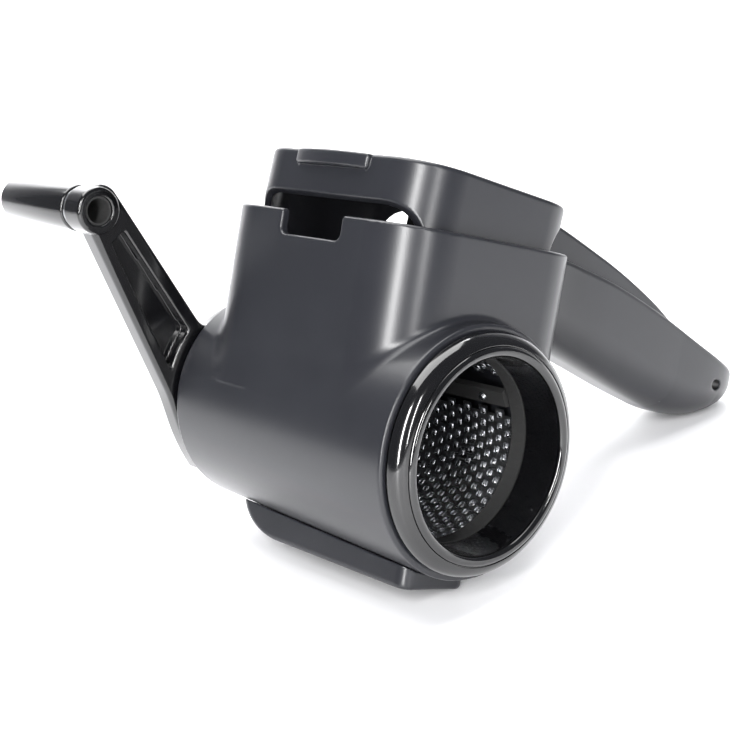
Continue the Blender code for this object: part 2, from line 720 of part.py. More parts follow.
def build_presser(parent, finish, plate_finish, origin):
    lever = solid("presser_lever", head_block(0.0, HEAD_BOTTOM_Z, HEAD_TOP_Z), finish, parent, origin)
    hollow = head_block(HEAD_WALL, HEAD_BOTTOM_Z - OVERCUT, HEAD_TOP_Z - HEAD_PLATE)
    shape(lever, hollow, "DIFFERENCE", origin)
    shape(lever, side_opening(WEB_X[0], BAND_LEFT_Z, -1.0), "DIFFERENCE", origin)
    shape(lever, side_opening(WEB_X[1], BAND_RIGHT_Z, 1.0), "DIFFERENCE", origin)
    shape(lever, arm_outside(), "UNION", origin)
    shape(lever, arm_flare(), "UNION", origin)
    shape(lever, arm_inside(), "DIFFERENCE", origin)
    boss = turned(
        [(HINGE_BOSS_R, MID_Y - HINGE_BOSS_HALF), (HINGE_BOSS_R, MID_Y + HINGE_BOSS_HALF)],
        HINGE,
        SMALL_CIRCLE,
    )
    shape(lever, boss, "UNION", origin)
    bore_r = HINGE_PIN_R + GAP
    bore = turned([(bore_r, MID_Y - 0.02), (bore_r, MID_Y + 0.02)], HINGE, SMALL_CIRCLE)
    shape(lever, bore, "DIFFERENCE", origin)
    shape(lever, thumb_lip(), "UNION", origin)
    build_press_plate(parent, plate_finish, origin)


def thumb_lip():
    """A shallow convex lip on the head's free side, under the top edge."""
    bulge = 0.0030
    steps = 12
    root = HEAD_X[0] + 0.0010
    outline = [(root, MID_Y + LIP_HALF), (root, MID_Y - LIP_HALF)]
    for i in range(steps + 1):
        across = 2 * i / steps - 1
        outline.append((HEAD_X[0] - bulge * sqrt(1.0 - 0.9 * across**2), MID_Y + LIP_HALF * across))
    return upright_prism(outline, HEAD_TOP_Z - 0.0042, HEAD_TOP_Z - 0.0002)


def build_press_plate(parent, finish, origin):
    """The food-side plate: a floor between the head's walls with ribs and an upstand toward the handle."""
    gap = HEAD_WALL + GAP
    y = (HEAD_Y[0] + gap, HEAD_Y[1] - gap)
    x = (WEB_X[0] + 0.0006, WEB_X[1] + 0.0012)
    inside = rounded_rectangle((HEAD_X[0] + gap, HEAD_X[1] - gap), y, HEAD_CORNER - gap)
    floor = [(min(max(px, x[0]), x[1]), py) for px, py in inside]
    floor_mesh = upright_prism(floor, PLATE_BOTTOM_Z, PLATE_BOTTOM_Z + 0.0024)
    plate = solid("press_plate", floor_mesh, finish, parent, origin)
    upstand_y = (y[0] + 0.0110, y[1] - 0.0110)
    upstand = rounded_rectangle((x[1] - 0.0022, x[1] - 0.0001), upstand_y, 0.0008, 3)
    shape(plate, upright_prism(upstand, PLATE_BOTTOM_Z + 0.001, PLATE_UPSTAND_Z), "UNION", origin)
    for index, rib_x in enumerate(np.linspace(x[0] + 0.006, x[1] - 0.006, 5)):
        outline = [
            (rib_x - 0.0011, PLATE_BOTTOM_Z + 0.0005),
            (rib_x - 0.0003, PLATE_BOTTOM_Z - 0.0011),
            (rib_x + 0.0003, PLATE_BOTTOM_Z - 0.0011),
            (rib_x + 0.0011, PLATE_BOTTOM_Z + 0.0005),
        ]
        shape(plate, side_prism(outline, y[0] + 0.005, y[1] - 0.005), "UNION", origin)


def build_hinge(parent, steel, black):
    origin = (0.0, 0.0, 0.0)
    pin = turned(
        [(HINGE_PIN_R, MID_Y - HINGE_PIN_HALF), (HINGE_PIN_R, MID_Y + HINGE_PIN_HALF)],
        HINGE,
        SMALL_CIRCLE,
    )
    solid("hinge_pin", pin, steel, parent, origin)
    for name, side in (("hinge_washer_front", -1.0), ("hinge_washer_rear", 1.0)):
        ends = sorted(MID_Y + side * d for d in (HINGE_BOSS_HALF + 0.0002, TROUGH_HALF - GAP))
        washer = plain_ring(HINGE_PIN_R + GAP, WASHER_R, *ends, HINGE, SMALL_CIRCLE)
        solid(name, washer, black, parent, origin)


# Assembly


def rest_tilt():
    """The tilt about the drum axis at which the foot's edge and the round tail are level."""
    tilt = 0.0
    for _ in range(40):
        down = (sin(tilt), -cos(tilt))
        bulge = hypot(TAIL_REACH[1] * down[0], TAIL_DEPTH * down[1])
        tail = TAIL_CENTRE[0] * down[0] + TAIL_CENTRE[1] * down[1] + bulge
        foot = (FOOT_HALF - FOOT_EDGE) * down[0] + FOOT_Z * down[1]
        tilt += (foot - tail) / hypot(TAIL_CENTRE[0] - FOOT_HALF, TAIL_CENTRE[1] - FOOT_Z)
    return tilt


def centre_on_origin(root):
    """Moves the whole grater so that it stands on Z = 0 with its box centred on the Z axis."""
    bpy.context.view_layer.update()
    graph = bpy.context.evaluated_depsgraph_get()
    corners = []
    for made in bpy.context.scene.objects:
        if made.type == "MESH" and not made.hide_render:
            evaluated = made.evaluated_get(graph)
            corners += [evaluated.matrix_world @ vert.co for vert in evaluated.data.vertices]
    corners = np.array(corners)
    low, high = corners.min(axis=0), corners.max(axis=0)
    root.location = (-(low[0] + high[0]) / 2, -(low[1] + high[1]) / 2, -low[2])


def build():
    for old in list(bpy.data.objects):
        bpy.data.objects.remove(old, do_unlink=True)
    satin = material("satin_black_abs", (0.028, 0.029, 0.034), 0.42)
    gloss = material("gloss_black_abs", (0.010, 0.010, 0.012), 0.12)
    black = material("black_nylon", (0.015, 0.015, 0.016), 0.5)
    rubber = material("black_rubber", (0.02, 0.02, 0.02), 0.8)
    steel = material("stainless_steel", (0.45, 0.46, 0.47), 0.3, 1.0)

    root = empty("grater_frame", None, (0.0, 0.0, 0.0))
    root.rotation_euler = (0.0, rest_tilt(), 0.0)
    origin = (0.0, 0.0, 0.0)
    crank_axis = empty("crank_axis", root, origin)
    eye_place = (EYE[0], CRANK_FACE_Y, EYE[1])
    grip_axis = empty("grip_axis", crank_axis, eye_place)
    hinge_place = (HINGE[0], MID_Y, HINGE[1])
    hinge_axis = empty("hinge_axis", root, hinge_place)
    hinge_axis.rotation_euler = (0.0, PRESSER_REST, 0.0)

    build_housing(root, satin)
    build_foot(root, satin, rubber)
    build_bearings(root, black)
    build_drum(crank_axis, gloss, black, steel, origin)
    build_crank(crank_axis, gloss, black, steel, origin)
    build_grip(grip_axis, crank_axis, black, gloss, steel, eye_place, origin)
    build_presser(hinge_axis, satin, black, hinge_place)
    build_hinge(root, steel, black)
    centre_on_origin(root)


build()
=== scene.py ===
"""Looks of a rotary cheese grater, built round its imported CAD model.

Each moulded piece is a rule: a function that is negative inside the piece. The mesher samples it on a grid,
pulls the points onto its surface and takes its slope as the shading normal. Turned pieces are spun from a
profile, and the perforated sheet is laid out by Geometry Nodes. All are drawn in the grater's own upright
frame, with the drum's axis along Y, and then put where the CAD model stands.
"""

import json
from math import asin, atan2, cos, hypot, pi, radians, sin

import bmesh
import bpy
import numpy as np
from mathutils import Matrix, Vector


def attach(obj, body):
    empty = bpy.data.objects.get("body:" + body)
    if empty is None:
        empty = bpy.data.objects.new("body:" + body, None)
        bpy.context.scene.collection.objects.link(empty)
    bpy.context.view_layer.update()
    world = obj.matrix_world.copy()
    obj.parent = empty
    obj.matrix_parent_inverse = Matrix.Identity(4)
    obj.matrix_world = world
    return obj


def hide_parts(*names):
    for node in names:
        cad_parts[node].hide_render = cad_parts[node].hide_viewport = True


bl_info = {
    "name": "Rotary Cheese Grater",
    "version": (1, 0, 0),
    "blender": (4, 5, 0),
    "location": "View3D > Sidebar > Grater",
    "description": "Builds a hand-cranked rotary cheese grater with moulded, turned and perforated pieces",
    "category": "Object",
}

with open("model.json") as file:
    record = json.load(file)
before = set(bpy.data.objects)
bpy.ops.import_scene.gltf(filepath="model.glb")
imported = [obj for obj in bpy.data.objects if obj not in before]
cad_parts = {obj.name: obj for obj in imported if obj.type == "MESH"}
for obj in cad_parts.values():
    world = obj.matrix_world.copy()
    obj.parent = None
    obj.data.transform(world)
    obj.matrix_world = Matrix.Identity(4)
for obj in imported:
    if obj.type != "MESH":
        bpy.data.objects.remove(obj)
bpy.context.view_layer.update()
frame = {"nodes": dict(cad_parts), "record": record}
RECORD = frame["record"]
PLACES = {joint["name"]: Vector(joint["pos_m"]) for joint in RECORD["behaviour"]["joints"]}
TILT = asin(-RECORD["mounts"][0]["axis"][0])
UPRIGHT = Matrix.Translation(PLACES["drum_pull"]) @ Matrix.Rotation(TILT, 4, "Y")

# Places in the upright frame that more than one piece uses
MID_Y = 0.0469
HINGE = UPRIGHT.inverted() @ PLACES["presser_lift"]
EYE = UPRIGHT.inverted() @ PLACES["grip_spin"]
PRESSER_REST = Matrix.Rotation(radians(4.3), 4, "Y")
PRESSER_TURN = Matrix.Translation(HINGE) @ PRESSER_REST @ Matrix.Translation(-HINGE)
BARREL_Y = (0.0006, 0.0915)
BARREL_FRONT_R = 0.0331
HOPPER_X = (-0.0296, 0.0387)
HOPPER_Y = (0.0067, 0.0871)
RIM_Z = 0.0540
HEAD_X = (-0.0260, 0.0354)
HEAD_Z = (0.0335, 0.0598)
CRANK_FACE_Y = 0.0924
CRANK_THICK = 0.0070
PIN_BORE_R = 0.0023
# Well past the grater, for outlines that stay open on one side
FAR = 0.2


# Settings


def size(name, description, default):
    return bpy.props.FloatProperty(
        name=name, description=description, default=default, unit="LENGTH", precision=5
    )


def tint(name, description, default):
    return bpy.props.FloatVectorProperty(
        name=name, description=description, default=default, size=3, subtype="COLOR", min=0.0, max=1.0
    )


class GRATER_PG_housing(bpy.types.PropertyGroup):
    front_radius: size("Front Radius", "Outer radius of the barrel at its open front", BARREL_FRONT_R)
    rear_radius: size("Rear Radius", "Outer radius of the barrel at the crank", 0.0302)
    wall: size("Wall", "Thickness of the moulded walls", 0.0025)
    fillet: size("Fillet", "Size of the round corner between hopper and barrel", 0.0022)
    root: size("Handle Root", "Size of the round corner between handle and hopper", 0.0060)
    edge: size("Edge", "Size of the rounding on rims and edges", 0.0009)
    hopper_corner: size("Hopper Corner", "Radius of the hopper's corners in plan", 0.0175)
    notch_floor: size("Notch Floor", "Height of the rim in the thumb notch above the axis", 0.0472)
    cell: size("Cell", "Grid spacing that the housing is sampled at", 0.00065)


class GRATER_PG_drum(bpy.types.PropertyGroup):
    pitch: size("Pitch", "Distance between rows of teeth along the drum", 0.0031)
    around: bpy.props.IntProperty(
        name="Teeth Around", description="Teeth in one full ring of the sheet", default=50, min=12
    )
    radius: size("Radius", "Outer radius of the rolled sheet", 0.0262)
    thickness: size("Thickness", "Thickness of the rolled sheet", 0.0004)
    tooth: size("Tooth", "Height of a tooth above the sheet", 0.0007)
    hole: bpy.props.FloatProperty(
        name="Hole", description="Hole width as a share of the pitch", default=0.50, min=0.2, max=0.8
    )


class GRATER_PG_presser(bpy.types.PropertyGroup):
    corner: size("Head Corner", "Radius of the head's corners in plan", 0.0149)
    wall: size("Wall", "Thickness of the head's walls", 0.0023)
    window: size("Window", "Radius of the arched corners of the side openings", 0.0095)
    arm_half: size("Arm Half Width", "Half the width of the arm", 0.0125)
    edge: size("Edge", "Size of the rounding on its edges", 0.0014)
    cell: size("Cell", "Grid spacing that the presser is sampled at", 0.0006)


class GRATER_PG_crank(bpy.types.PropertyGroup):
    disc: size("Disc Radius", "Radius of the disc behind the barrel", 0.0270)
    eye: size("Eye Radius", "Radius of the arm's end round the grip's pin", 0.00645)
    edge: size("Edge", "Size of the rounding on its edges", 0.0010)
    grip: size("Grip Length", "Length of the turning grip", 0.0357)
    cell: size("Cell", "Grid spacing that the crank is sampled at", 0.00045)


class GRATER_PG_finish(bpy.types.PropertyGroup):
    satin: tint("Satin Plastic", "Colour of the housing and the presser", (0.0125, 0.0130, 0.0160))
    gloss: tint("Gloss Plastic", "Colour of the collar and the crank", (0.0020, 0.0020, 0.0024))
    nylon: tint("Nylon", "Colour of the plain inner pieces", (0.0050, 0.0050, 0.0056))
    steel: tint("Steel", "Colour of the perforated sheet and the screws", (0.56, 0.57, 0.59))
    rubber: tint("Rubber", "Colour of the foot's tread", (0.015, 0.015, 0.015))


class GRATER_PG_stage(bpy.types.PropertyGroup):
    floor: tint("Floor", "Colour of the floor", (0.93, 0.93, 0.94))
    lens: bpy.props.FloatProperty(
        name="Focal Length", description="Lens of the camera in millimetres", default=74.0, min=10.0
    )
    top: bpy.props.FloatProperty(name="Top Light", description="Power of the light above", default=30.0)
    strip: bpy.props.FloatProperty(name="Strip Light", description="Power of the strips", default=9.0)


SETTINGS = {
    "grater_housing": GRATER_PG_housing,
    "grater_drum": GRATER_PG_drum,
    "grater_presser": GRATER_PG_presser,
    "grater_crank": GRATER_PG_crank,
    "grater_finish": GRATER_PG_finish,
    "grater_stage": GRATER_PG_stage,
}


# Rules: functions of x, y and z that are negative inside a piece


def join(a, b, k):
    """Both shapes, with a round inner corner of size k where they meet."""
    blend = np.maximum(k - np.abs(a - b), 0.0)
    return np.minimum(a, b) - blend * blend / (4.0 * k)


def both(a, b, k):
    """What the shapes share, with a round outer edge of size k."""
    return -join(-a, -b, k)


def cut(a, b, k):
    """The first shape without the second, with a round edge of size k."""
    return both(a, -b, k)


def span(v, low, high):
    """Between two parallel planes."""
    return np.maximum(low - v, v - high)


def rounded_box(u, v, u_range, v_range, corner):
    """A rectangle with round corners in the u and v plane."""
    du = np.abs(u - (u_range[0] + u_range[1]) / 2) - (u_range[1] - u_range[0]) / 2 + corner
    dv = np.abs(v - (v_range[0] + v_range[1]) / 2) - (v_range[1] - v_range[0]) / 2 + corner
    outside = np.hypot(np.maximum(du, 0.0), np.maximum(dv, 0.0))
    return outside + np.minimum(np.maximum(du, dv), 0.0) - corner


def along(x, stations, column):
    """A smooth curve through one column of the stations, flat beyond both ends."""
    xs = np.array([row[0] for row in stations])
    ys = np.array([row[column] for row in stations])
    slopes = np.gradient(ys, xs)
    x = np.clip(x, xs[0], xs[-1])
    i = np.clip(np.searchsorted(xs, x) - 1, 0, len(xs) - 2)
    width = xs[i + 1] - xs[i]
    t = (x - xs[i]) / width
    rise = ys[i + 1] - ys[i]
    bend_a = slopes[i] * width - rise
    bend_b = rise - slopes[i + 1] * width
    return ys[i] + rise * t + t * (1 - t) * (bend_a * (1 - t) + bend_b * t)


# Meshes


def grid_mesh(rule, low, high, cell):
    """Points and quads on the surface of a rule: one point in each grid cell that the surface crosses."""
    axes = [np.arange(a - cell, b + 2 * cell, cell) for a, b in zip(low, high)]
    x, y, z = np.meshgrid(*axes, indexing="ij")
    values = rule(x, y, z).astype(np.float32)
    inside = values < 0.0
    shape = np.array(inside.shape)
    counts = np.zeros(shape - 1, np.int8)
    corners = [(i, j, k) for i in (0, 1) for j in (0, 1) for k in (0, 1)]
    for i, j, k in corners:
        counts += inside[i : shape[0] - 1 + i, j : shape[1] - 1 + j, k : shape[2] - 1 + k]
    crossed = np.argwhere((counts > 0) & (counts < 8))
    index = np.full(shape - 1, -1, np.int32)
    index[tuple(crossed.T)] = np.arange(len(crossed))

    total = np.zeros((len(crossed), 3))
    hits = np.zeros(len(crossed))
    for first in corners:
        for axis in range(3):
            if first[axis]:
                continue
            second = list(first)
            second[axis] = 1
            a = values[tuple((crossed + first).T)]
            b = values[tuple((crossed + second).T)]
            hit = (a < 0) != (b < 0)
            share = np.where(hit, a / np.where(hit, a - b, 1.0), 0.0)
            place = np.tile(np.array(first, float), (len(crossed), 1))
            place[:, axis] = share
            total += place * hit[:, None]
            hits += hit
    start = np.array([axis[0] for axis in axes])
    points = start + (crossed + total / hits[:, None]) * cell

    quads = []
    for axis in range(3):
        low_end = [slice(None)] * 3
        high_end = [slice(None)] * 3
        low_end[axis] = slice(0, -1)
        high_end[axis] = slice(1, None)
        edges = np.argwhere(inside[tuple(low_end)] != inside[tuple(high_end)])
        u, v = (axis + 1) % 3, (axis + 2) % 3
        edges = edges[(edges[:, u] > 0) & (edges[:, v] > 0)]
        ring = []
        for du, dv in ((0, 0), (-1, 0), (-1, -1), (0, -1)):
            step = np.zeros(3, int)
            step[u], step[v] = du, dv
            ring.append(index[tuple((edges + step).T)])
        ring = np.stack(ring, axis=1)
        outward = inside[tuple(edges.T)]
        ring[~outward] = ring[~outward][:, ::-1]
        quads.append(ring)
    return points, np.concatenate(quads)


def slope(rule, points):
    """The direction in which a rule grows fastest, and how fast, at each point."""
    step = 4e-5
    found = []
    for axis in range(3):
        ahead, behind = points.copy(), points.copy()
        ahead[:, axis] += step
        behind[:, axis] -= step
        found.append((rule(*ahead.T) - rule(*behind.T)) / (2 * step))
    found = np.stack(found, axis=1)
    length = np.maximum(np.linalg.norm(found, axis=1), 1e-6)
    return found / length[:, None], length


def finished(name, mesh, material, place, body, replaces):
    """Puts a mesh in its place, gives it its material, hangs it under its body and hides the CAD nodes it
    replaces.
    """
    mesh.transform(place)
    piece = bpy.data.objects.new(name, mesh)
    bpy.context.scene.collection.objects.link(piece)
    mesh.materials.clear()
    mesh.materials.append(material)
    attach(piece, body)
    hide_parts(*replaces)


def moulded(name, rule, low, high, cell, most=None):
    """A mesh of a rule's surface, thinned to at most so many triangles, shaded by the rule's slope."""
    points, quads = grid_mesh(rule, low, high, cell)
    for _ in range(3):
        normals, speed = slope(rule, points)
        step = np.clip(rule(*points.T) / speed, -cell / 2, cell / 2)
        points -= normals * step[:, None]
    mesh = bpy.data.meshes.new(name)
    mesh.from_pydata(points, [], quads)
    if most and 2 * len(quads) > most:
        mesh = thinned(mesh, most / (2 * len(quads)))
        points = np.empty(3 * len(mesh.vertices))
        mesh.vertices.foreach_get("co", points)
        points = points.reshape(-1, 3)
    normals, _ = slope(rule, points)
    mesh.shade_smooth()
    mesh.normals_split_custom_set_from_vertices([tuple(n) for n in normals])
    return mesh


def thinned(mesh, share):
    holder = bpy.data.objects.new("thinning", mesh)
    bpy.context.scene.collection.objects.link(holder)
    modifier = holder.modifiers.new("thin", "DECIMATE")
    modifier.ratio = share
    graph = bpy.context.evaluated_depsgraph_get()
    made = bpy.data.meshes.new_from_object(holder.evaluated_get(graph))
    bpy.data.objects.remove(holder)
    return made


def arc(centre, radius, start, end, steps):
    turns = [radians(start + (end - start) * i / steps) for i in range(steps + 1)]
    return [(centre[0] + radius * cos(t), centre[1] + radius * sin(t)) for t in turns]


def spun(name, profile, centre=(0.0, 0.0), steps=128, closed=False):
    """A mesh turned about an axis along Y from (radius, y) pairs. A closed profile makes a ring."""
    rows = len(profile)
    points = []
    for i in range(steps):
        turn = 2 * pi * i / steps
        for radius, y in profile:
            points.append((centre[0] + radius * cos(turn), y, centre[1] + radius * sin(turn)))
    faces = []
    for i in range(steps):
        near, far = i * rows, (i + 1) % steps * rows
        for j in range(rows if closed else rows - 1):
            k = (j + 1) % rows
            faces.append((near + j, far + j, far + k, near + k))
    if not closed:
        faces.append([i * rows for i in range(steps)])
        faces.append([i * rows + rows - 1 for i in range(steps)])
    mesh = bpy.data.meshes.new(name)
    mesh.from_pydata(points, [], faces)
    facing_out(mesh)
    mesh.shade_smooth()
    mesh.set_sharp_from_angle(angle=radians(40.0))
    return mesh


def facing_out(mesh):
    work = bmesh.new()
    work.from_mesh(mesh)
    bmesh.ops.recalc_face_normals(work, faces=work.faces)
    work.to_mesh(mesh)
    work.free()


# Materials


class Shade:
    """A node socket that takes part in Python expressions; each expression adds its Math nodes."""

    def __init__(self, tree, socket):
        self.tree = tree
        self.socket = socket

    def node(self, kind, settings=None, **values):
        """Adds a node with its settings and its socket values or links, and returns it."""
        made = self.tree.nodes.new(kind)
        for key, value in (settings or {}).items():
            setattr(made, key, value)
        for key, value in values.items():
            slot = made.inputs[int(key[1:])] if key[1:].isdigit() else made.inputs[key.replace("_", " ")]
            if isinstance(value, Shade):
                self.tree.links.new(value.socket, slot)
            else:
                slot.default_value = value
        return made

    def math(self, operation, other, reverse=False):
        pair = (other, self) if reverse else (self, other)
        made = self.node("ShaderNodeMath", {"operation": operation}, i0=pair[0], i1=pair[1])
        return Shade(self.tree, made.outputs[0])

    def __add__(self, other):
        return self.math("ADD", other)

    def __mul__(self, other):
        return self.math("MULTIPLY", other)

    def __sub__(self, other):
        return self.math("SUBTRACT", other)

    def __rsub__(self, other):
        return self.math("SUBTRACT", other, True)

    __radd__ = __add__
    __rmul__ = __mul__


def start_material(name):
    """A new material with its Principled shader, its surface and the object's own coordinates."""
    made = bpy.data.materials.new(name)
    made.use_nodes = True
    tree = made.node_tree
    shader = tree.nodes["Principled BSDF"]
    coordinates = Shade(tree, tree.nodes.new("ShaderNodeTexCoord").outputs["Object"])
    return made, shader, coordinates


def noise(at, scale, detail=2.0):
    made = at.node("ShaderNodeTexNoise", None, Vector=at, Scale=scale, Detail=detail)
    return Shade(at.tree, made.outputs["Fac"])


def mixed(at, share, first, second):
    """A colour between two colours."""
    made = at.node("ShaderNodeMix", {"data_type": "RGBA"}, i0=share, i6=(*first, 1.0), i7=(*second, 1.0))
    return Shade(at.tree, made.outputs[2])


def bumped(at, shader, height, distance, strength=1.0):
    made = at.node("ShaderNodeBump", None, Height=height, Distance=distance, Strength=strength)
    at.tree.links.new(made.outputs["Normal"], shader.inputs["Normal"])


def feed(at, shader, name, value):
    at.tree.links.new(value.socket, shader.inputs[name])


def plastic(name, colour, roughness, grain, coat=0.0):
    """Moulded plastic: a fine grain, faint flow marks and a slow change of gloss."""
    made, shader, at = start_material(name)
    flow = noise(at, 55.0, 3.0)
    fine = noise(at, 2600.0, 1.0)
    lighter = [channel * 1.25 + 0.0006 for channel in colour]
    feed(at, shader, "Base Color", mixed(at, flow, colour, lighter))
    feed(at, shader, "Roughness", flow * 0.07 + fine * 0.04 + (roughness - 0.055))
    shader.inputs["Coat Weight"].default_value = coat
    shader.inputs["Coat Roughness"].default_value = 0.04
    bumped(at, shader, fine + flow * 4.0, grain, 0.35)
    return made


def steel(name, colour, roughness, stretch):
    """Stainless steel with fine rolling lines, stretched along Y."""
    made, shader, at = start_material(name)
    lay = at.node("ShaderNodeMapping", None, Vector=at, Scale=(1.0, stretch, 1.0))
    lay = Shade(at.tree, lay.outputs["Vector"])
    lines = noise(lay, 1800.0, 3.0)
    cloud = noise(at, 140.0, 2.0)
    feed(at, shader, "Base Color", mixed(at, lines, [c * 0.82 for c in colour], colour))
    feed(at, shader, "Roughness", lines * 0.14 + cloud * 0.10 + (roughness - 0.1))
    shader.inputs["Metallic"].default_value = 1.0
    bumped(at, shader, lines, 0.000012, 0.5)
    return made


def rubber(name, colour):
    made, shader, at = start_material(name)
    grain = noise(at, 1500.0, 4.0)
    feed(at, shader, "Base Color", mixed(at, grain, colour, [c * 1.7 for c in colour]))
    feed(at, shader, "Roughness", grain * 0.15 + 0.7)
    bumped(at, shader, grain, 0.00006, 0.6)
    return made


def table_surface(name, colour):
    made, shader, at = start_material(name)
    wave = noise(at, 3.0, 2.0)
    feed(at, shader, "Base Color", mixed(at, wave, colour, [c * 0.985 for c in colour]))
    shader.inputs["Roughness"].default_value = 0.55
    return made


def finish(name):
    """The material of that name, made the first time it is asked for."""
    if name in bpy.data.materials:
        return bpy.data.materials[name]
    colours = bpy.context.scene.grater_finish
    makers = {
        "satin_plastic": lambda: plastic(name, colours.satin, 0.30, 0.00003),
        "gloss_plastic": lambda: plastic(name, colours.gloss, 0.13, 0.000004, 0.6),
        "black_nylon": lambda: plastic(name, colours.nylon, 0.42, 0.00003),
        "rolled_steel": lambda: steel(name, colours.steel, 0.28, 0.04),
        "turned_steel": lambda: steel(name, colours.steel, 0.22, 1.0),
        "tread_rubber": lambda: rubber(name, colours.rubber),
        "table_surface": lambda: table_surface(name, bpy.context.scene.grater_stage.floor),
    }
    return makers[name]()


# Housing

# Along X: half the width, the top and the bottom of the handle
HANDLE = (
    (0.0300, 0.0260, 0.0540, 0.0306),
    (0.0387, 0.0225, 0.0540, 0.0303),
    (0.0415, 0.0200, 0.0540, 0.0301),
    (0.0450, 0.0180, 0.0539, 0.0297),
    (0.0500, 0.0167, 0.0537, 0.0288),
    (0.0570, 0.0160, 0.0532, 0.0276),
    (0.0680, 0.0156, 0.0515, 0.0252),
    (0.0780, 0.0155, 0.0497, 0.0226),
    (0.0880, 0.0154, 0.0474, 0.0199),
    (0.0980, 0.0153, 0.0447, 0.0171),
    (0.1080, 0.0152, 0.0418, 0.0145),
    (0.1180, 0.0150, 0.0386, 0.0121),
)
TAIL_X = (0.1180, 0.1580)
TAIL_BELLY = (0.1320, 0.0252, 0.0150)
TAIL_REACH = (0.0285, 0.0265)
TROUGH_HALF = 0.0130
TROUGH_X = (0.0400, 0.1285)
ARM_SLOT_X = (0.0330, 0.0415)
ARM_SLOT_Z = 0.0430
# Where the hopper's wall toward the handle starts to lean out (x, z), and how far it leans over what height
HOPPER_TUCK = (0.0315, 0.0060)
TUCK_LEAN = (0.0072, 0.0140)
HOPPER_FLOOR_Z = 0.0240
NOTCH_Y = (0.0330, 0.0572)
NOTCH_END_X = -0.020
SHAFT_BORE_R = 0.0075
PIN_BORE_HALF = 0.0143
CORD_HOLE = (0.1475, -0.0065, 0.0225)
CORD_HOLE_R = 0.0016
CORD_HOLE_TURN = radians(-40.0)


def handle_sizes(x):
    """Half width, top and bottom of the handle at x, tail included."""
    sizes = [along(x, HANDLE, column) for column in (1, 2, 3)]
    tail = np.clip((x - TAIL_X[0]) / (TAIL_X[1] - TAIL_X[0]), 0.0, 1.0)
    behind = np.maximum(x - TAIL_X[0], 0.0)
    half = sizes[0] - 0.0116 * (1.0 - np.sqrt(1.0 - tail**4))
    top = sizes[1] - 0.352 * behind + 1.2 * behind**2 - 0.0012 * tail**14
    reach = np.where(x > TAIL_BELLY[0], TAIL_REACH[1], TAIL_REACH[0])
    across = np.clip((x - TAIL_BELLY[0]) / reach, -0.999, 0.999)
    belly = TAIL_BELLY[1] - TAIL_BELLY[2] * np.sqrt(1.0 - across**2)
    bottom = np.where(x > TAIL_X[0], belly, sizes[2])
    return half, top, bottom


def handle_rule(x, y, z, edge):
    half, top, bottom = handle_sizes(x)
    belly = np.minimum(half * 0.82, (top - bottom) * 0.62)
    section = rounded_box(y - MID_Y, z, (-half, half), (bottom, bottom + FAR), belly)
    solid = both(section, z - top, edge * 2)
    solid = both(solid, x - TAIL_X[1], 0.002)
    return np.maximum(solid, 0.0340 - x)


def trough_rule(x, y, z):
    _, _, bottom = handle_sizes(np.minimum(x, TAIL_X[0]))
    floor = bottom + 0.0026 + np.maximum(x - TAIL_X[0], 0.0) * 0.81
    section = rounded_box(y - MID_Y, z, (-TROUGH_HALF, TROUGH_HALF), (floor, floor + FAR), 0.0105)
    return np.maximum(section, span(x, *TROUGH_X))


def housing_rule(settings):
    wall, edge = settings.wall, settings.edge

    def barrel(x, y, z, inset):
        share = (y - BARREL_Y[0]) / (BARREL_Y[1] - BARREL_Y[0])
        radius = settings.front_radius + (settings.rear_radius - settings.front_radius) * share
        return np.hypot(x, z) - radius + inset

    def hopper(x, y, inset):
        return rounded_box(
            x,
            y,
            (HOPPER_X[0] + inset, HOPPER_X[1] - inset),
            (HOPPER_Y[0] + inset, HOPPER_Y[1] - inset),
            settings.hopper_corner - inset,
        )

    def rule(x, y, z):
        out, up = TUCK_LEAN
        tuck = ((x - HOPPER_TUCK[0]) * up - (z - HOPPER_TUCK[1]) * out) / hypot(up, out)
        walls = both(hopper(x, y, 0.0), tuck, 0.006)
        walls = np.maximum(both(walls, z - RIM_Z, edge * 1.4), HOPPER_TUCK[1] - z)
        solid = join(barrel(x, y, z, 0.0), walls, settings.fillet)
        solid = join(solid, handle_rule(x, y, z, edge), settings.root)
        solid = both(solid, z - RIM_Z, edge)
        solid = both(solid, span(y, *BARREL_Y), edge)
        bore = np.maximum(barrel(x, y, z, wall), y - BARREL_Y[1] + wall)
        mouth = np.maximum(hopper(x, y, wall), HOPPER_FLOOR_Z - z)
        notch = rounded_box(y, z, NOTCH_Y, (settings.notch_floor, FAR), 0.0020)
        notch = np.maximum(notch, x - NOTCH_END_X)
        slot = np.maximum(np.abs(y - MID_Y) - TROUGH_HALF, ARM_SLOT_Z - z)
        slot = np.maximum(slot, span(x, *ARM_SLOT_X))
        opened = np.minimum(np.minimum(bore, mouth), notch)
        opened = np.minimum(opened, np.minimum(slot, trough_rule(x, y, z)))
        opened = np.minimum(opened, np.hypot(x, z) - SHAFT_BORE_R)
        solid = cut(solid, opened, edge)
        pin = np.hypot(x - HINGE.x, z - HINGE.z) - PIN_BORE_R
        pin = np.maximum(pin, np.abs(y - MID_Y) - PIN_BORE_HALF)
        hole_x, hole_y, hole_z = CORD_HOLE
        side = (x - hole_x) * cos(CORD_HOLE_TURN) + (y - MID_Y - hole_y) * sin(CORD_HOLE_TURN)
        cord = np.hypot(side, z - hole_z) - CORD_HOLE_R
        return cut(cut(solid, pin, 0.0003), cord, 0.0008)

    return rule


FOOT_HALF = 0.0113
FOOT_Y = (0.0075, 0.0798)
FOOT_Z = (-0.0373, -0.0270)
FOOT_CLEARANCE = 0.0002
BARREL_TAPER = 0.0029
BARREL_LENGTH = 0.0909
TREAD_HALF = 0.0087
TREAD_Y = (0.0115, 0.0613)
TREAD_TOP_Z = -0.0351
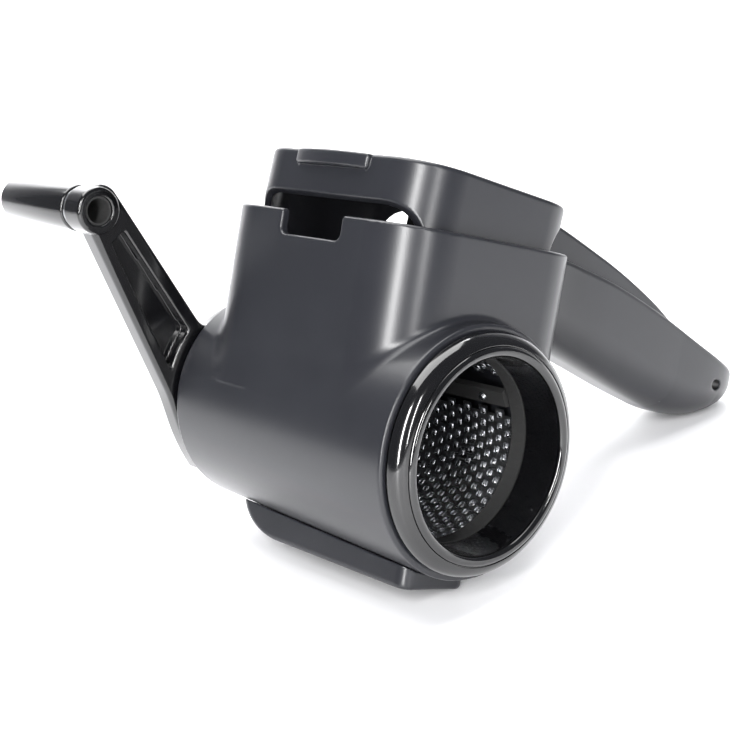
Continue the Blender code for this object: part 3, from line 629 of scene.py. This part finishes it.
# Height above the foot's sole, and how far short of the foot's rear end the foot stops there
FOOT_REAR = (
    (0.0, 0.0150),
    (0.0006, 0.0120),
    (0.0016, 0.0085),
    (0.0031, 0.0052),
    (0.0055, 0.0022),
    (0.0093, 0.0),
)


def foot_rule(x, y, z):
    """The foot, hollowed to the barrel's tapering underside, with the tread's recess."""
    rear = FOOT_Y[1] - along(z - FOOT_Z[0], FOOT_REAR, 1)
    block = rounded_box(x, y, (-FOOT_HALF, FOOT_HALF), (FOOT_Y[0], rear), 0.004)
    block = both(block, span(z, *FOOT_Z), 0.0012)
    radius = BARREL_FRONT_R - BARREL_TAPER * (y - BARREL_Y[0]) / BARREL_LENGTH
    barrel = np.hypot(x, z) - radius - FOOT_CLEARANCE
    tread = rounded_box(x, y, (-TREAD_HALF, TREAD_HALF), TREAD_Y, 0.0030)
    tread = np.maximum(tread, z - TREAD_TOP_Z)
    return cut(cut(block, barrel, 0.0003), tread, 0.0004)


class GRATER_OT_housing(bpy.types.Operator):
    """Moulds the barrel, hopper and handle in one piece, and the foot under it"""

    bl_idname = "grater.housing"
    bl_label = "Housing and Foot"

    def execute(self, context):
        settings = context.scene.grater_housing
        satin = finish("satin_plastic")
        mesh = moulded(
            "housing_moulding",
            housing_rule(settings),
            (-0.036, -0.0010, -0.036),
            (0.160, 0.0935, 0.056),
            settings.cell,
            190000,
        )
        finished("housing_moulding", mesh, satin, UPRIGHT, "housing", ["housing_shell"])
        mesh = moulded("foot_moulding", foot_rule, (-0.013, 0.006, -0.039), (0.013, 0.082, -0.026), 0.0005)
        finished("foot_moulding", mesh, satin, UPRIGHT, "housing", ["foot_body"])
        for name, look in (
            ("foot_tread", "tread_rubber"),
            ("front_bearing_ring", "black_nylon"),
            ("rear_bearing_bush", "black_nylon"),
            ("hinge_pin", "turned_steel"),
            ("hinge_washer_front", "black_nylon"),
            ("hinge_washer_rear", "black_nylon"),
        ):
            dress(name, look)
        return {"FINISHED"}


def dress(node, look):
    """Gives a carried-over CAD node its material."""
    mesh = frame["nodes"][node].data
    mesh.materials.clear()
    mesh.materials.append(finish(look))


# Drum

SHEET_LENGTH = 0.0660
SHEET_MID_Y = 0.0462
SEAM_TURN = radians(33.0)
# Tiles left out of each ring, where the seam bar is
SEAM_TILES = 4


def collar_profile():
    """Rolled outer edge, a fine groove, a rounded inner band, the lip and the funnel behind it."""
    roll = arc((0.0274, -0.0002), 0.0042, 0.0, -76.0, 18)
    groove = [(0.02835, -0.00395), (0.02815, -0.00395)]
    band = arc((0.02680, -0.00355), 0.00145, -12.0, -164.0, 14)
    funnel = [(0.02525, -0.00250), (0.02505, 0.00050), (0.02492, 0.00380), (0.02490, 0.00750)]
    back = [(0.02840, 0.00750), (0.02840, 0.00030), (0.03100, 0.00030)]
    return roll + groove + band + funnel + back


def cell_mesh(hole, settings):
    """One tile of the sheet, a unit square with a square hole and a tooth, open at its outer sides."""
    drop = -settings.thickness / settings.pitch
    lift = settings.tooth / settings.pitch
    steps = 4
    square = []
    for side in range(4):
        turn = side * pi / 2
        for i in range(steps):
            u, v = 0.5, -0.5 + i / steps
            square.append((u * cos(turn) - v * sin(turn), u * sin(turn) + v * cos(turn)))
    square = np.array(square)
    inner = square * (hole, hole * 1.12)
    rounded = inner * (1.0 - 0.16 * (np.abs(square).min(axis=1) > 0.49))[:, None]
    count = len(square)
    rings = [
        [(u, v, drop) for u, v in square],
        [(u, v, drop) for u, v in rounded * 1.10],
        [(u, v, drop - 0.035) for u, v in rounded * 1.02],
        [(u, v, 0.0) for u, v in rounded],
        [(u, v, 0.0) for u, v in square],
    ]
    points = [p for ring in rings for p in ring]
    faces = []
    for ring in range(len(rings) - 1):
        for i in range(count):
            j = (i + 1) % count
            a, b = ring * count, (ring + 1) * count
            faces.append((a + i, b + i, b + j, a + j))
    half_u, half_v = hole * 0.46, hole * 0.54
    base = len(points)
    thick = 0.07
    for share, height in ((0.0, 0.0), (0.35, 0.55), (0.7, 1.0), (0.78, 1.0)):
        for u in (-half_u, -half_u * 0.4, half_u * 0.4, half_u):
            sag = 1.0 - 0.45 * (abs(u) / half_u) ** 2
            v = half_v - 2 * half_v * share
            points.append((u * (1.0 - 0.25 * share), v, lift * height * sag))
    for share, height in ((0.78, 1.0), (0.7, 1.0), (0.35, 0.55), (0.0, 0.0)):
        for u in (-half_u, -half_u * 0.4, half_u * 0.4, half_u):
            sag = 1.0 - 0.45 * (abs(u) / half_u) ** 2
            v = half_v - 2 * half_v * share
            points.append((u * (1.0 - 0.25 * share), v, lift * height * sag - thick))
    for row in range(8):
        for i in range(3):
            a, b = base + row * 4 + i, base + (row + 1) % 8 * 4 + i
            faces.append((a, a + 1, b + 1, b))
    for i in (0, 3):
        loop = [base + row * 4 + i for row in range(8)]
        for row in range(3):
            quad = (loop[row], loop[row + 1], loop[6 - row], loop[7 - row])
            faces.append(quad if i else quad[::-1])
    mesh = bpy.data.meshes.new("sheet_tile")
    mesh.from_pydata(points, [], faces)
    return mesh


class Tree:
    """A Geometry Nodes tree under construction, with short ways to add nodes and links."""

    def __init__(self, name, inputs):
        self.group = bpy.data.node_groups.new(name, "GeometryNodeTree")
        face = self.group.interface
        self.sockets = {}
        face.new_socket("Geometry", in_out="INPUT", socket_type="NodeSocketGeometry")
        for label, kind in inputs:
            made = face.new_socket(label, in_out="INPUT", socket_type=kind)
            self.sockets[label] = made.identifier
        face.new_socket("Geometry", in_out="OUTPUT", socket_type="NodeSocketGeometry")
        self.entry = self.group.nodes.new("NodeGroupInput")
        self.exit = self.group.nodes.new("NodeGroupOutput")

    def value(self, label):
        return self.entry.outputs[label]

    def add(self, kind, settings=None, **values):
        made = self.group.nodes.new(kind)
        for key, value in (settings or {}).items():
            setattr(made, key, value)
        for key, value in values.items():
            slot = made.inputs[int(key[1:])] if key[1:].isdigit() else made.inputs[key.replace("_", " ")]
            if isinstance(value, bpy.types.NodeSocket):
                self.group.links.new(value, slot)
            else:
                slot.default_value = value
        return made

    def math(self, operation, first, second=0.0):
        return self.add("ShaderNodeMath", {"operation": operation}, i0=first, i1=second).outputs[0]

    def end(self, geometry, material):
        """Realises what the tree made, gives it its material and sends it out."""
        whole = self.add("GeometryNodeRealizeInstances", None, Geometry=geometry)
        dressed = self.add("GeometryNodeSetMaterial", None, Geometry=whole.outputs[0], Material=material)
        self.group.links.new(dressed.outputs[0], self.exit.inputs[0])

    def run(self, name, values):
        """Evaluates the tree on an empty mesh and returns the mesh that it makes."""
        holder = bpy.data.objects.new(name, bpy.data.meshes.new(name + "_start"))
        bpy.context.scene.collection.objects.link(holder)
        modifier = holder.modifiers.new(name, "NODES")
        modifier.node_group = self.group
        for label, value in values.items():
            modifier[self.sockets[label]] = value
        graph = bpy.context.evaluated_depsgraph_get()
        made = bpy.data.meshes.new_from_object(holder.evaluated_get(graph))
        bpy.data.objects.remove(holder)
        return made


def sheet_tree():
    """Tiles in a staggered grid, scaled to the pitch and rolled round the drum's axis."""
    tree = Tree(
        "rolled_sheet",
        (
            ("Tile", "NodeSocketObject"),
            ("Around", "NodeSocketInt"),
            ("Full Ring", "NodeSocketInt"),
            ("Rows", "NodeSocketInt"),
            ("Pitch", "NodeSocketFloat"),
            ("Start", "NodeSocketFloat"),
            ("Radius", "NodeSocketFloat"),
            ("First Turn", "NodeSocketFloat"),
            ("Material", "NodeSocketMaterial"),
        ),
    )
    count = tree.math("MULTIPLY", tree.value("Around"), tree.value("Rows"))
    points = tree.add("GeometryNodeMeshLine", None, Count=count, Offset=(0.0, 0.0, 0.0)).outputs[0]
    number = tree.add("GeometryNodeInputIndex").outputs[0]
    row = tree.math("FLOOR", tree.math("DIVIDE", number, tree.value("Around")))
    column = tree.math("SUBTRACT", number, tree.math("MULTIPLY", row, tree.value("Around")))
    stagger = tree.math("MULTIPLY", tree.math("MODULO", row, 2.0), 0.5)
    place = tree.add("ShaderNodeCombineXYZ", None, X=row, Y=tree.math("ADD", column, stagger))
    laid = tree.add("GeometryNodeSetPosition", None, Geometry=points, Position=place.outputs[0])
    tile = tree.add("GeometryNodeObjectInfo", None, Object=tree.value("Tile")).outputs["Geometry"]
    tiles = tree.add("GeometryNodeInstanceOnPoints", None, Points=laid.outputs[0], Instance=tile)
    whole = tree.add("GeometryNodeRealizeInstances", None, Geometry=tiles.outputs[0])
    sewn = tree.add("GeometryNodeMergeByDistance", None, Geometry=whole.outputs[0], Distance=0.01)
    at = tree.add("ShaderNodeSeparateXYZ", None, Vector=tree.add("GeometryNodeInputPosition").outputs[0])
    share = tree.math("DIVIDE", at.outputs[1], tree.value("Full Ring"))
    turn = tree.math("ADD", tree.math("MULTIPLY", share, 2 * pi), tree.value("First Turn"))
    radius = tree.math("ADD", tree.math("MULTIPLY", at.outputs[2], tree.value("Pitch")), tree.value("Radius"))
    y = tree.math("ADD", tree.math("MULTIPLY", at.outputs[0], tree.value("Pitch")), tree.value("Start"))
    x = tree.math("MULTIPLY", radius, tree.math("COSINE", turn))
    z = tree.math("MULTIPLY", radius, tree.math("SINE", turn))
    rolled = tree.add("ShaderNodeCombineXYZ", None, X=x, Y=y, Z=z)
    bent = tree.add("GeometryNodeSetPosition", None, Geometry=sewn.outputs[0], Position=rolled.outputs[0])
    tree.end(bent.outputs[0], tree.value("Material"))
    return tree


class GRATER_OT_drum(bpy.types.Operator):
    """Turns the collar, lays out the toothed sheet and dresses the drum's inner pieces"""

    bl_idname = "grater.drum"
    bl_label = "Drum and Collar"

    def execute(self, context):
        settings = context.scene.grater_drum
        collar = spun("collar_turning", collar_profile(), steps=192, closed=True)
        gloss = finish("gloss_plastic")
        finished("collar_turning", collar, gloss, UPRIGHT, "drum", ["drum_collar"])

        tile = bpy.data.objects.new("sheet_tile", cell_mesh(settings.hole, settings))
        context.scene.collection.objects.link(tile)
        steel_look = finish("rolled_steel")
        rows = int(SHEET_LENGTH / settings.pitch)
        start = SHEET_MID_Y - (rows - 1) / 2 * settings.pitch
        seam = SEAM_TURN + pi * (SEAM_TILES + 1) / settings.around
        values = {
            "Tile": tile,
            "Around": settings.around - SEAM_TILES,
            "Full Ring": settings.around,
            "Rows": rows,
            "Pitch": settings.pitch,
            "Start": start,
            "Radius": settings.radius,
            "First Turn": seam,
            "Material": steel_look,
        }
        mesh = sheet_tree().run("toothed_sheet", values)
        bpy.data.objects.remove(tile)
        mesh.shade_smooth()
        mesh.set_sharp_from_angle(angle=radians(35.0))
        finished("toothed_sheet", mesh, steel_look, UPRIGHT, "drum", ["drum_blade"])
        dress("drum_front_ring", "black_nylon")
        dress("drum_rear_hub", "black_nylon")
        dress("drum_seam_bar", "black_nylon")
        for number in range(1, 5):
            dress(f"seam_rivet_{number}", "turned_steel")
        return {"FINISHED"}


# Crank

EYE_STAND = 0.0012
EYE_HOLE_R = 0.0040
# Angle between the arm's upper edge and the line from the axis to its end
UPPER_EDGE_TURN = radians(6.9)
# The recess's distances from the arm's lower and upper edges, the disc and the eye, and its depth
RECESS_SIDES = (0.0041, 0.0044)
RECESS_FROM_DISC = 0.0058
RECESS_FROM_EYE = 0.0036
RECESS_DEPTH = 0.0034


def crank_rule(settings):
    """A disc with a straight-sided arm, a round eye at its end and a recess along it."""
    end = Vector((EYE.x + 0.0012, EYE.z + 0.0014))
    end_r = settings.eye - 0.00055
    ahead = atan2(end.y, end.x)
    lower = ahead + pi / 2 - asin((settings.disc - end_r) / end.length)
    upper = ahead - pi / 2 - UPPER_EDGE_TURN
    low_side = Vector((cos(lower), sin(lower)))
    high_side = Vector((cos(upper), sin(upper)))
    reach = high_side.dot(end) + end_r
    forward = end.normalized()
    back = CRANK_FACE_Y + CRANK_THICK

    def rule(x, y, z):
        disc = np.hypot(x, z)
        low_edge = x * low_side.x + z * low_side.y - settings.disc
        high_edge = x * high_side.x + z * high_side.y - reach
        run = x * forward.x + z * forward.y
        arm = np.maximum(np.maximum(low_edge, high_edge), span(run, 0.0, end.length - 0.001))
        tip = np.hypot(x - end.x, z - end.y) - end_r
        outline = join(disc - settings.disc, np.minimum(arm, tip), 0.006)
        solid = both(outline, span(y, CRANK_FACE_Y, back), settings.edge * 1.6)
        eye = np.hypot(x - EYE.x, z - EYE.z)
        boss = both(eye - settings.eye, span(y, CRANK_FACE_Y - EYE_STAND, back), settings.edge)
        solid = np.minimum(solid, boss)
        recess = both(low_edge + RECESS_SIDES[0], high_edge + RECESS_SIDES[1], 0.0012)
        recess = both(recess, settings.disc + RECESS_FROM_DISC - disc, 0.0012)
        recess = both(recess, settings.eye + RECESS_FROM_EYE - eye, 0.0012)
        floor = np.maximum(recess, y - CRANK_FACE_Y - RECESS_DEPTH)
        solid = cut(solid, floor, 0.0009)
        return cut(solid, eye - EYE_HOLE_R, 0.0005)

    return rule


class GRATER_OT_crank(bpy.types.Operator):
    """Moulds the crank's disc and arm and turns the grip on its pin"""

    bl_idname = "grater.crank"
    bl_label = "Crank and Grip"

    def execute(self, context):
        settings = context.scene.grater_crank
        gloss = finish("gloss_plastic")
        mesh = moulded(
            "crank_moulding",
            crank_rule(settings),
            (-0.072, 0.0905, -0.029),
            (0.029, 0.1005, 0.054),
            settings.cell,
            150000,
        )
        finished("crank_moulding", mesh, gloss, UPRIGHT, "crank", ["crank_arm"])
        start = CRANK_FACE_Y + CRANK_THICK + EYE_STAND
        end = CRANK_FACE_Y + CRANK_THICK + settings.grip
        eye, tip = settings.eye, settings.eye - 0.00035
        sleeve = [(0.0044, start)] + arc((eye - 0.0006, start + 0.0006), 0.0006, -90, 0, 5)
        sleeve += arc((tip - 0.0004, end - 0.0004), 0.0004, 0, 90, 5) + [(0.0044, end)]
        mesh = spun("grip_turning", sleeve, (EYE.x, EYE.z), 96, closed=True)
        finished("grip_turning", mesh, gloss, UPRIGHT, "crank_grip", ["grip_sleeve"])
        cap = [(0.0040, end - 0.0025), (0.0040, end + 0.0003), (tip - 0.0006, end + 0.0003)]
        cap += arc((tip - 0.0030, end + 0.0004), 0.0024, 10, 90, 8)
        mesh = spun("grip_tip", cap, (EYE.x, EYE.z), 96)
        finished("grip_tip", mesh, gloss, UPRIGHT, "crank_grip", ["grip_end_cap"])
        dress("grip_pin", "black_nylon")
        dress("grip_washer", "turned_steel")
        dress("crank_screw", "turned_steel")
        dress("crank_cap", "gloss_plastic")
        dress("drive_spindle", "black_nylon")
        return {"FINISHED"}


# Presser

ARM = (
    (0.0330, 0.0597, 0.0480),
    (0.0385, 0.0595, 0.0470),
    (0.0430, 0.0591, 0.0466),
    (0.0495, 0.0584, 0.0456),
    (0.0595, 0.0565, 0.0435),
    (0.0693, 0.0543, 0.0412),
    (0.0776, 0.0524, 0.0392),
    (0.0859, 0.0502, 0.0368),
    (0.0948, 0.0475, 0.0338),
    (0.1037, 0.0445, 0.0305),
    (0.1110, 0.0415, 0.0278),
    (0.1150, 0.0397, 0.0262),
)
FLARE = (
    (0.0330, 0.0225),
    (0.0356, 0.0210),
    (0.0372, 0.0184),
    (0.0392, 0.0158),
    (0.0425, 0.0138),
    (0.0480, 0.0126),
)
HEAD_HALF_Y = 0.0358
HEAD_ROOF = 0.0025
# The side openings: how far in they reach and how high, on the free side and toward the handle
OPENING_X = (-0.0195, 0.0250)
OPENING_TOP_Z = (0.0487, 0.0550)
LIP_HALF = 0.0145
FLARE_BOTTOM_Z = 0.0546
BOSS_R = 0.0066
BOSS_HALF = 0.0118
ARM_SHELL = 0.0022
ARM_HOLLOW_X = (0.0495, 0.1000)
RIB_PITCH = 0.0075


def presser_rule(settings):
    wall, edge = settings.wall, settings.edge

    def head(x, y, inset):
        return rounded_box(
            x,
            y,
            (HEAD_X[0] + inset, HEAD_X[1] - inset),
            (MID_Y - HEAD_HALF_Y + inset, MID_Y + HEAD_HALF_Y - inset),
            settings.corner - inset,
        )

    def arm_heights(x):
        return along(x, ARM, 2), along(x, ARM, 1)

    def rule(x, y, z):
        solid = both(head(x, y, 0.0), z - HEAD_Z[1], edge)
        solid = np.maximum(solid, HEAD_Z[0] - z)
        hollow = np.maximum(head(x, y, wall), z - HEAD_Z[1] + HEAD_ROOF)
        left = rounded_box(x, z, (-FAR, OPENING_X[0]), (-FAR, OPENING_TOP_Z[0]), settings.window)
        right = rounded_box(x, z, (OPENING_X[1], FAR), (-FAR, OPENING_TOP_Z[1]), settings.window)
        solid = cut(solid, hollow, 0.0006)
        solid = cut(solid, np.minimum(left, right), 0.0007)
        across = np.clip((y - MID_Y) / LIP_HALF, -1.0, 1.0)
        bulge = HEAD_X[0] - 0.0030 * np.sqrt(1.0 - 0.9 * across**2)
        lip = np.maximum(bulge - x, x - HEAD_X[0] - 0.0010)
        lip = both(lip, np.abs(y - MID_Y) - LIP_HALF, 0.0006)
        lip = both(lip, span(z, HEAD_Z[1] - 0.0042, HEAD_Z[1] - 0.0002), 0.0009)
        solid = np.minimum(solid, lip)
        arm = rounded_box(y - MID_Y, z, (-settings.arm_half, settings.arm_half), arm_heights(x), edge)
        arm = np.maximum(arm, span(x, ARM[0][0], ARM[-1][0]))
        half = along(x, FLARE, 1)
        flare = both(np.abs(y - MID_Y) - half, z - along(x, ARM, 1), edge)
        ends = span(x, FLARE[0][0], FLARE[-1][0])
        flare = np.maximum(flare, np.maximum(FLARE_BOTTOM_Z - z, ends))
        boss = np.hypot(x - HINGE.x, z - HINGE.z) - BOSS_R
        boss = both(boss, np.abs(y - MID_Y) - BOSS_HALF, 0.0006)
        solid = join(solid, np.minimum(arm, flare), 0.0012)
        top, bottom = along(x, ARM, 1), along(x, ARM, 2)
        under = np.maximum(np.abs(y - MID_Y) - settings.arm_half + ARM_SHELL, z - top + ARM_SHELL)
        under = np.maximum(under, np.maximum(bottom - 0.004 - z, span(x, *ARM_HOLLOW_X)))
        solid = join(cut(solid, under, 0.0006), boss, 0.001)
        return cut(solid, np.hypot(x - HINGE.x, z - HINGE.z) - PIN_BORE_R, 0.0003)

    return rule


def plate_rule(x, y, z):
    """The food-side plate with its ribs and its upstand toward the handle."""
    inside = rounded_box(x, y, (-0.0234, 0.0328), (0.0137, 0.0801), 0.0123)
    floor = np.maximum(inside, span(x, -0.0189, 0.0262))
    floor = both(floor, span(z, 0.0315, 0.0339), 0.0006)
    upstand = rounded_box(x, y, (0.0240, 0.0261), (0.0247, 0.0691), 0.0008)
    upstand = both(upstand, span(z, 0.0320, 0.0530), 0.0006)
    wave = np.abs((x + 0.0129 + RIB_PITCH / 2) % RIB_PITCH - RIB_PITCH / 2)
    rib = np.maximum(wave - 0.0011 + (0.0320 - z) * 0.4, span(z, 0.0304, 0.0325))
    rib = both(rib, span(y, 0.0187, 0.0751), 0.0006)
    rib = np.maximum(rib, span(x, -0.0145, 0.0215))
    return join(join(floor, upstand, 0.0008), rib, 0.0005)


class GRATER_OT_presser(bpy.types.Operator):
    """Moulds the presser's head with its arm, and the plate that meets the cheese"""

    bl_idname = "grater.presser"
    bl_label = "Presser"

    def execute(self, context):
        settings = context.scene.grater_presser
        place = UPRIGHT @ PRESSER_TURN
        mesh = moulded(
            "presser_moulding",
            presser_rule(settings),
            (-0.0305, 0.0100, 0.0245),
            (0.1270, 0.0838, 0.0610),
            settings.cell,
            180000,
        )
        satin, nylon = finish("satin_plastic"), finish("black_nylon")
        finished("presser_moulding", mesh, satin, place, "presser", ["presser_lever"])
        mesh = moulded(
            "press_plate_moulding",
            plate_rule,
            (-0.020, 0.013, 0.030),
            (0.027, 0.081, 0.054),
            0.0006,
            60000,
        )
        finished("press_plate_moulding", mesh, nylon, place, "presser", ["press_plate"])
        return {"FINISHED"}


# Stage

CAMERA_OFFSET = Vector((-0.246667, -0.260227, 0.134529))
CAMERA_TURN = (radians(39.358), radians(-16.921), radians(-6.158))


def look_along(yaw, pitch, roll):
    """A camera's turn: yaw from +Y toward +X, pitch above level, and roll about the view."""
    forward = Vector((cos(pitch) * sin(yaw), cos(pitch) * cos(yaw), sin(pitch)))
    side = Vector((cos(yaw), -sin(yaw), 0.0))
    up = side.cross(forward)
    right = side * cos(roll) + up * sin(roll)
    upward = up * cos(roll) - side * sin(roll)
    return Matrix((right, upward, -forward)).transposed().to_4x4()


def area_light(name, place, target, width, height, power):
    light = bpy.data.lights.new(name, "AREA")
    light.shape = "RECTANGLE"
    light.size, light.size_y = width, height
    light.energy = power
    made = bpy.data.objects.new(name, light)
    made.location = place
    direction = Vector(target) - Vector(place)
    made.rotation_euler = direction.to_track_quat("-Z", "Y").to_euler()
    bpy.context.scene.collection.objects.link(made)


def sweep_mesh(width, front, back, rise, radius):
    """A floor that curves up into a wall behind the grater."""
    profile = [(front, 0.0)]
    for i in range(25):
        turn = pi / 2 * i / 24
        profile.append((back - radius + radius * sin(turn), radius - radius * cos(turn)))
    profile.append((back, rise))
    points, faces = [], []
    for side in (-width, width):
        points += [(side, y, z) for y, z in profile]
    count = len(profile)
    for i in range(count - 1):
        faces.append((i, count + i, count + i + 1, i + 1))
    mesh = bpy.data.meshes.new("studio_floor")
    mesh.from_pydata(points, [], faces)
    mesh.shade_smooth()
    return mesh


class GRATER_OT_stage(bpy.types.Operator):
    """Lays the floor, hangs the lights and sets the camera"""

    bl_idname = "grater.stage"
    bl_label = "Floor, Lights and Camera"

    def execute(self, context):
        settings = context.scene.grater_stage
        floor = bpy.data.objects.new("studio_floor", sweep_mesh(3.0, -3.0, 1.6, 2.6, 0.8))
        floor.data.transform(Matrix.Rotation(-CAMERA_TURN[0], 4, "Z"))
        floor.data.materials.append(finish("table_surface"))
        context.scene.collection.objects.link(floor)

        world = bpy.data.worlds.new("studio")
        world.use_nodes = True
        world.node_tree.nodes["Background"].inputs["Color"].default_value = (0.30, 0.31, 0.34, 1.0)
        world.node_tree.nodes["Background"].inputs["Strength"].default_value = 0.6
        context.scene.world = world
        context.scene.view_settings.view_transform = "Standard"

        centre = (0.0, 0.0, 0.05)
        area_light("top_light", (0.05, 0.30, 1.30), (0.0, 0.1, 0.0), 1.3, 1.3, settings.top)
        area_light("back_wash", (0.4, 0.9, 1.3), (0.9, 1.3, 0.5), 1.6, 0.8, settings.top * 1.4)
        area_light("corner_strip", (-0.62, -0.42, 0.34), centre, 0.07, 0.60, settings.strip)
        area_light("side_strip", (-0.30, -0.80, 0.34), centre, 0.035, 0.50, settings.strip * 0.35)

        camera = bpy.data.cameras.new("camera")
        camera.lens = settings.lens
        camera.sensor_width = 36.0
        camera.clip_start = 0.01
        made = bpy.data.objects.new("camera", camera)
        place = PLACES["drum_pull"] + CAMERA_OFFSET
        made.matrix_world = Matrix.Translation(place) @ look_along(*CAMERA_TURN)
        context.scene.collection.objects.link(made)
        context.scene.camera = made
        return {"FINISHED"}


class GRATER_PT_panel(bpy.types.Panel):
    """Lists the grater's pieces and their sizes"""

    bl_idname = "GRATER_PT_panel"
    bl_label = "Rotary Cheese Grater"
    bl_space_type = "VIEW_3D"
    bl_region_type = "UI"
    bl_category = "Grater"

    def draw(self, context):
        for operator in OPERATORS:
            self.layout.operator(operator.bl_idname)
        for name, group in SETTINGS.items():
            box = self.layout.box()
            for field in group.__annotations__:
                box.prop(getattr(context.scene, name), field)


OPERATORS = (GRATER_OT_housing, GRATER_OT_drum, GRATER_OT_crank, GRATER_OT_presser, GRATER_OT_stage)


def register():
    for group in (*SETTINGS.values(), *OPERATORS, GRATER_PT_panel):
        bpy.utils.register_class(group)
    for name, group in SETTINGS.items():
        setattr(bpy.types.Scene, name, bpy.props.PointerProperty(type=group))


def unregister():
    for name in SETTINGS:
        delattr(bpy.types.Scene, name)
    for group in reversed((*SETTINGS.values(), *OPERATORS, GRATER_PT_panel)):
        bpy.utils.unregister_class(group)


def main():
    register()
    bpy.ops.grater.housing()
    bpy.ops.grater.drum()
    bpy.ops.grater.crank()
    bpy.ops.grater.presser()
    bpy.ops.grater.stage()


if __name__ == "__main__":
    main()
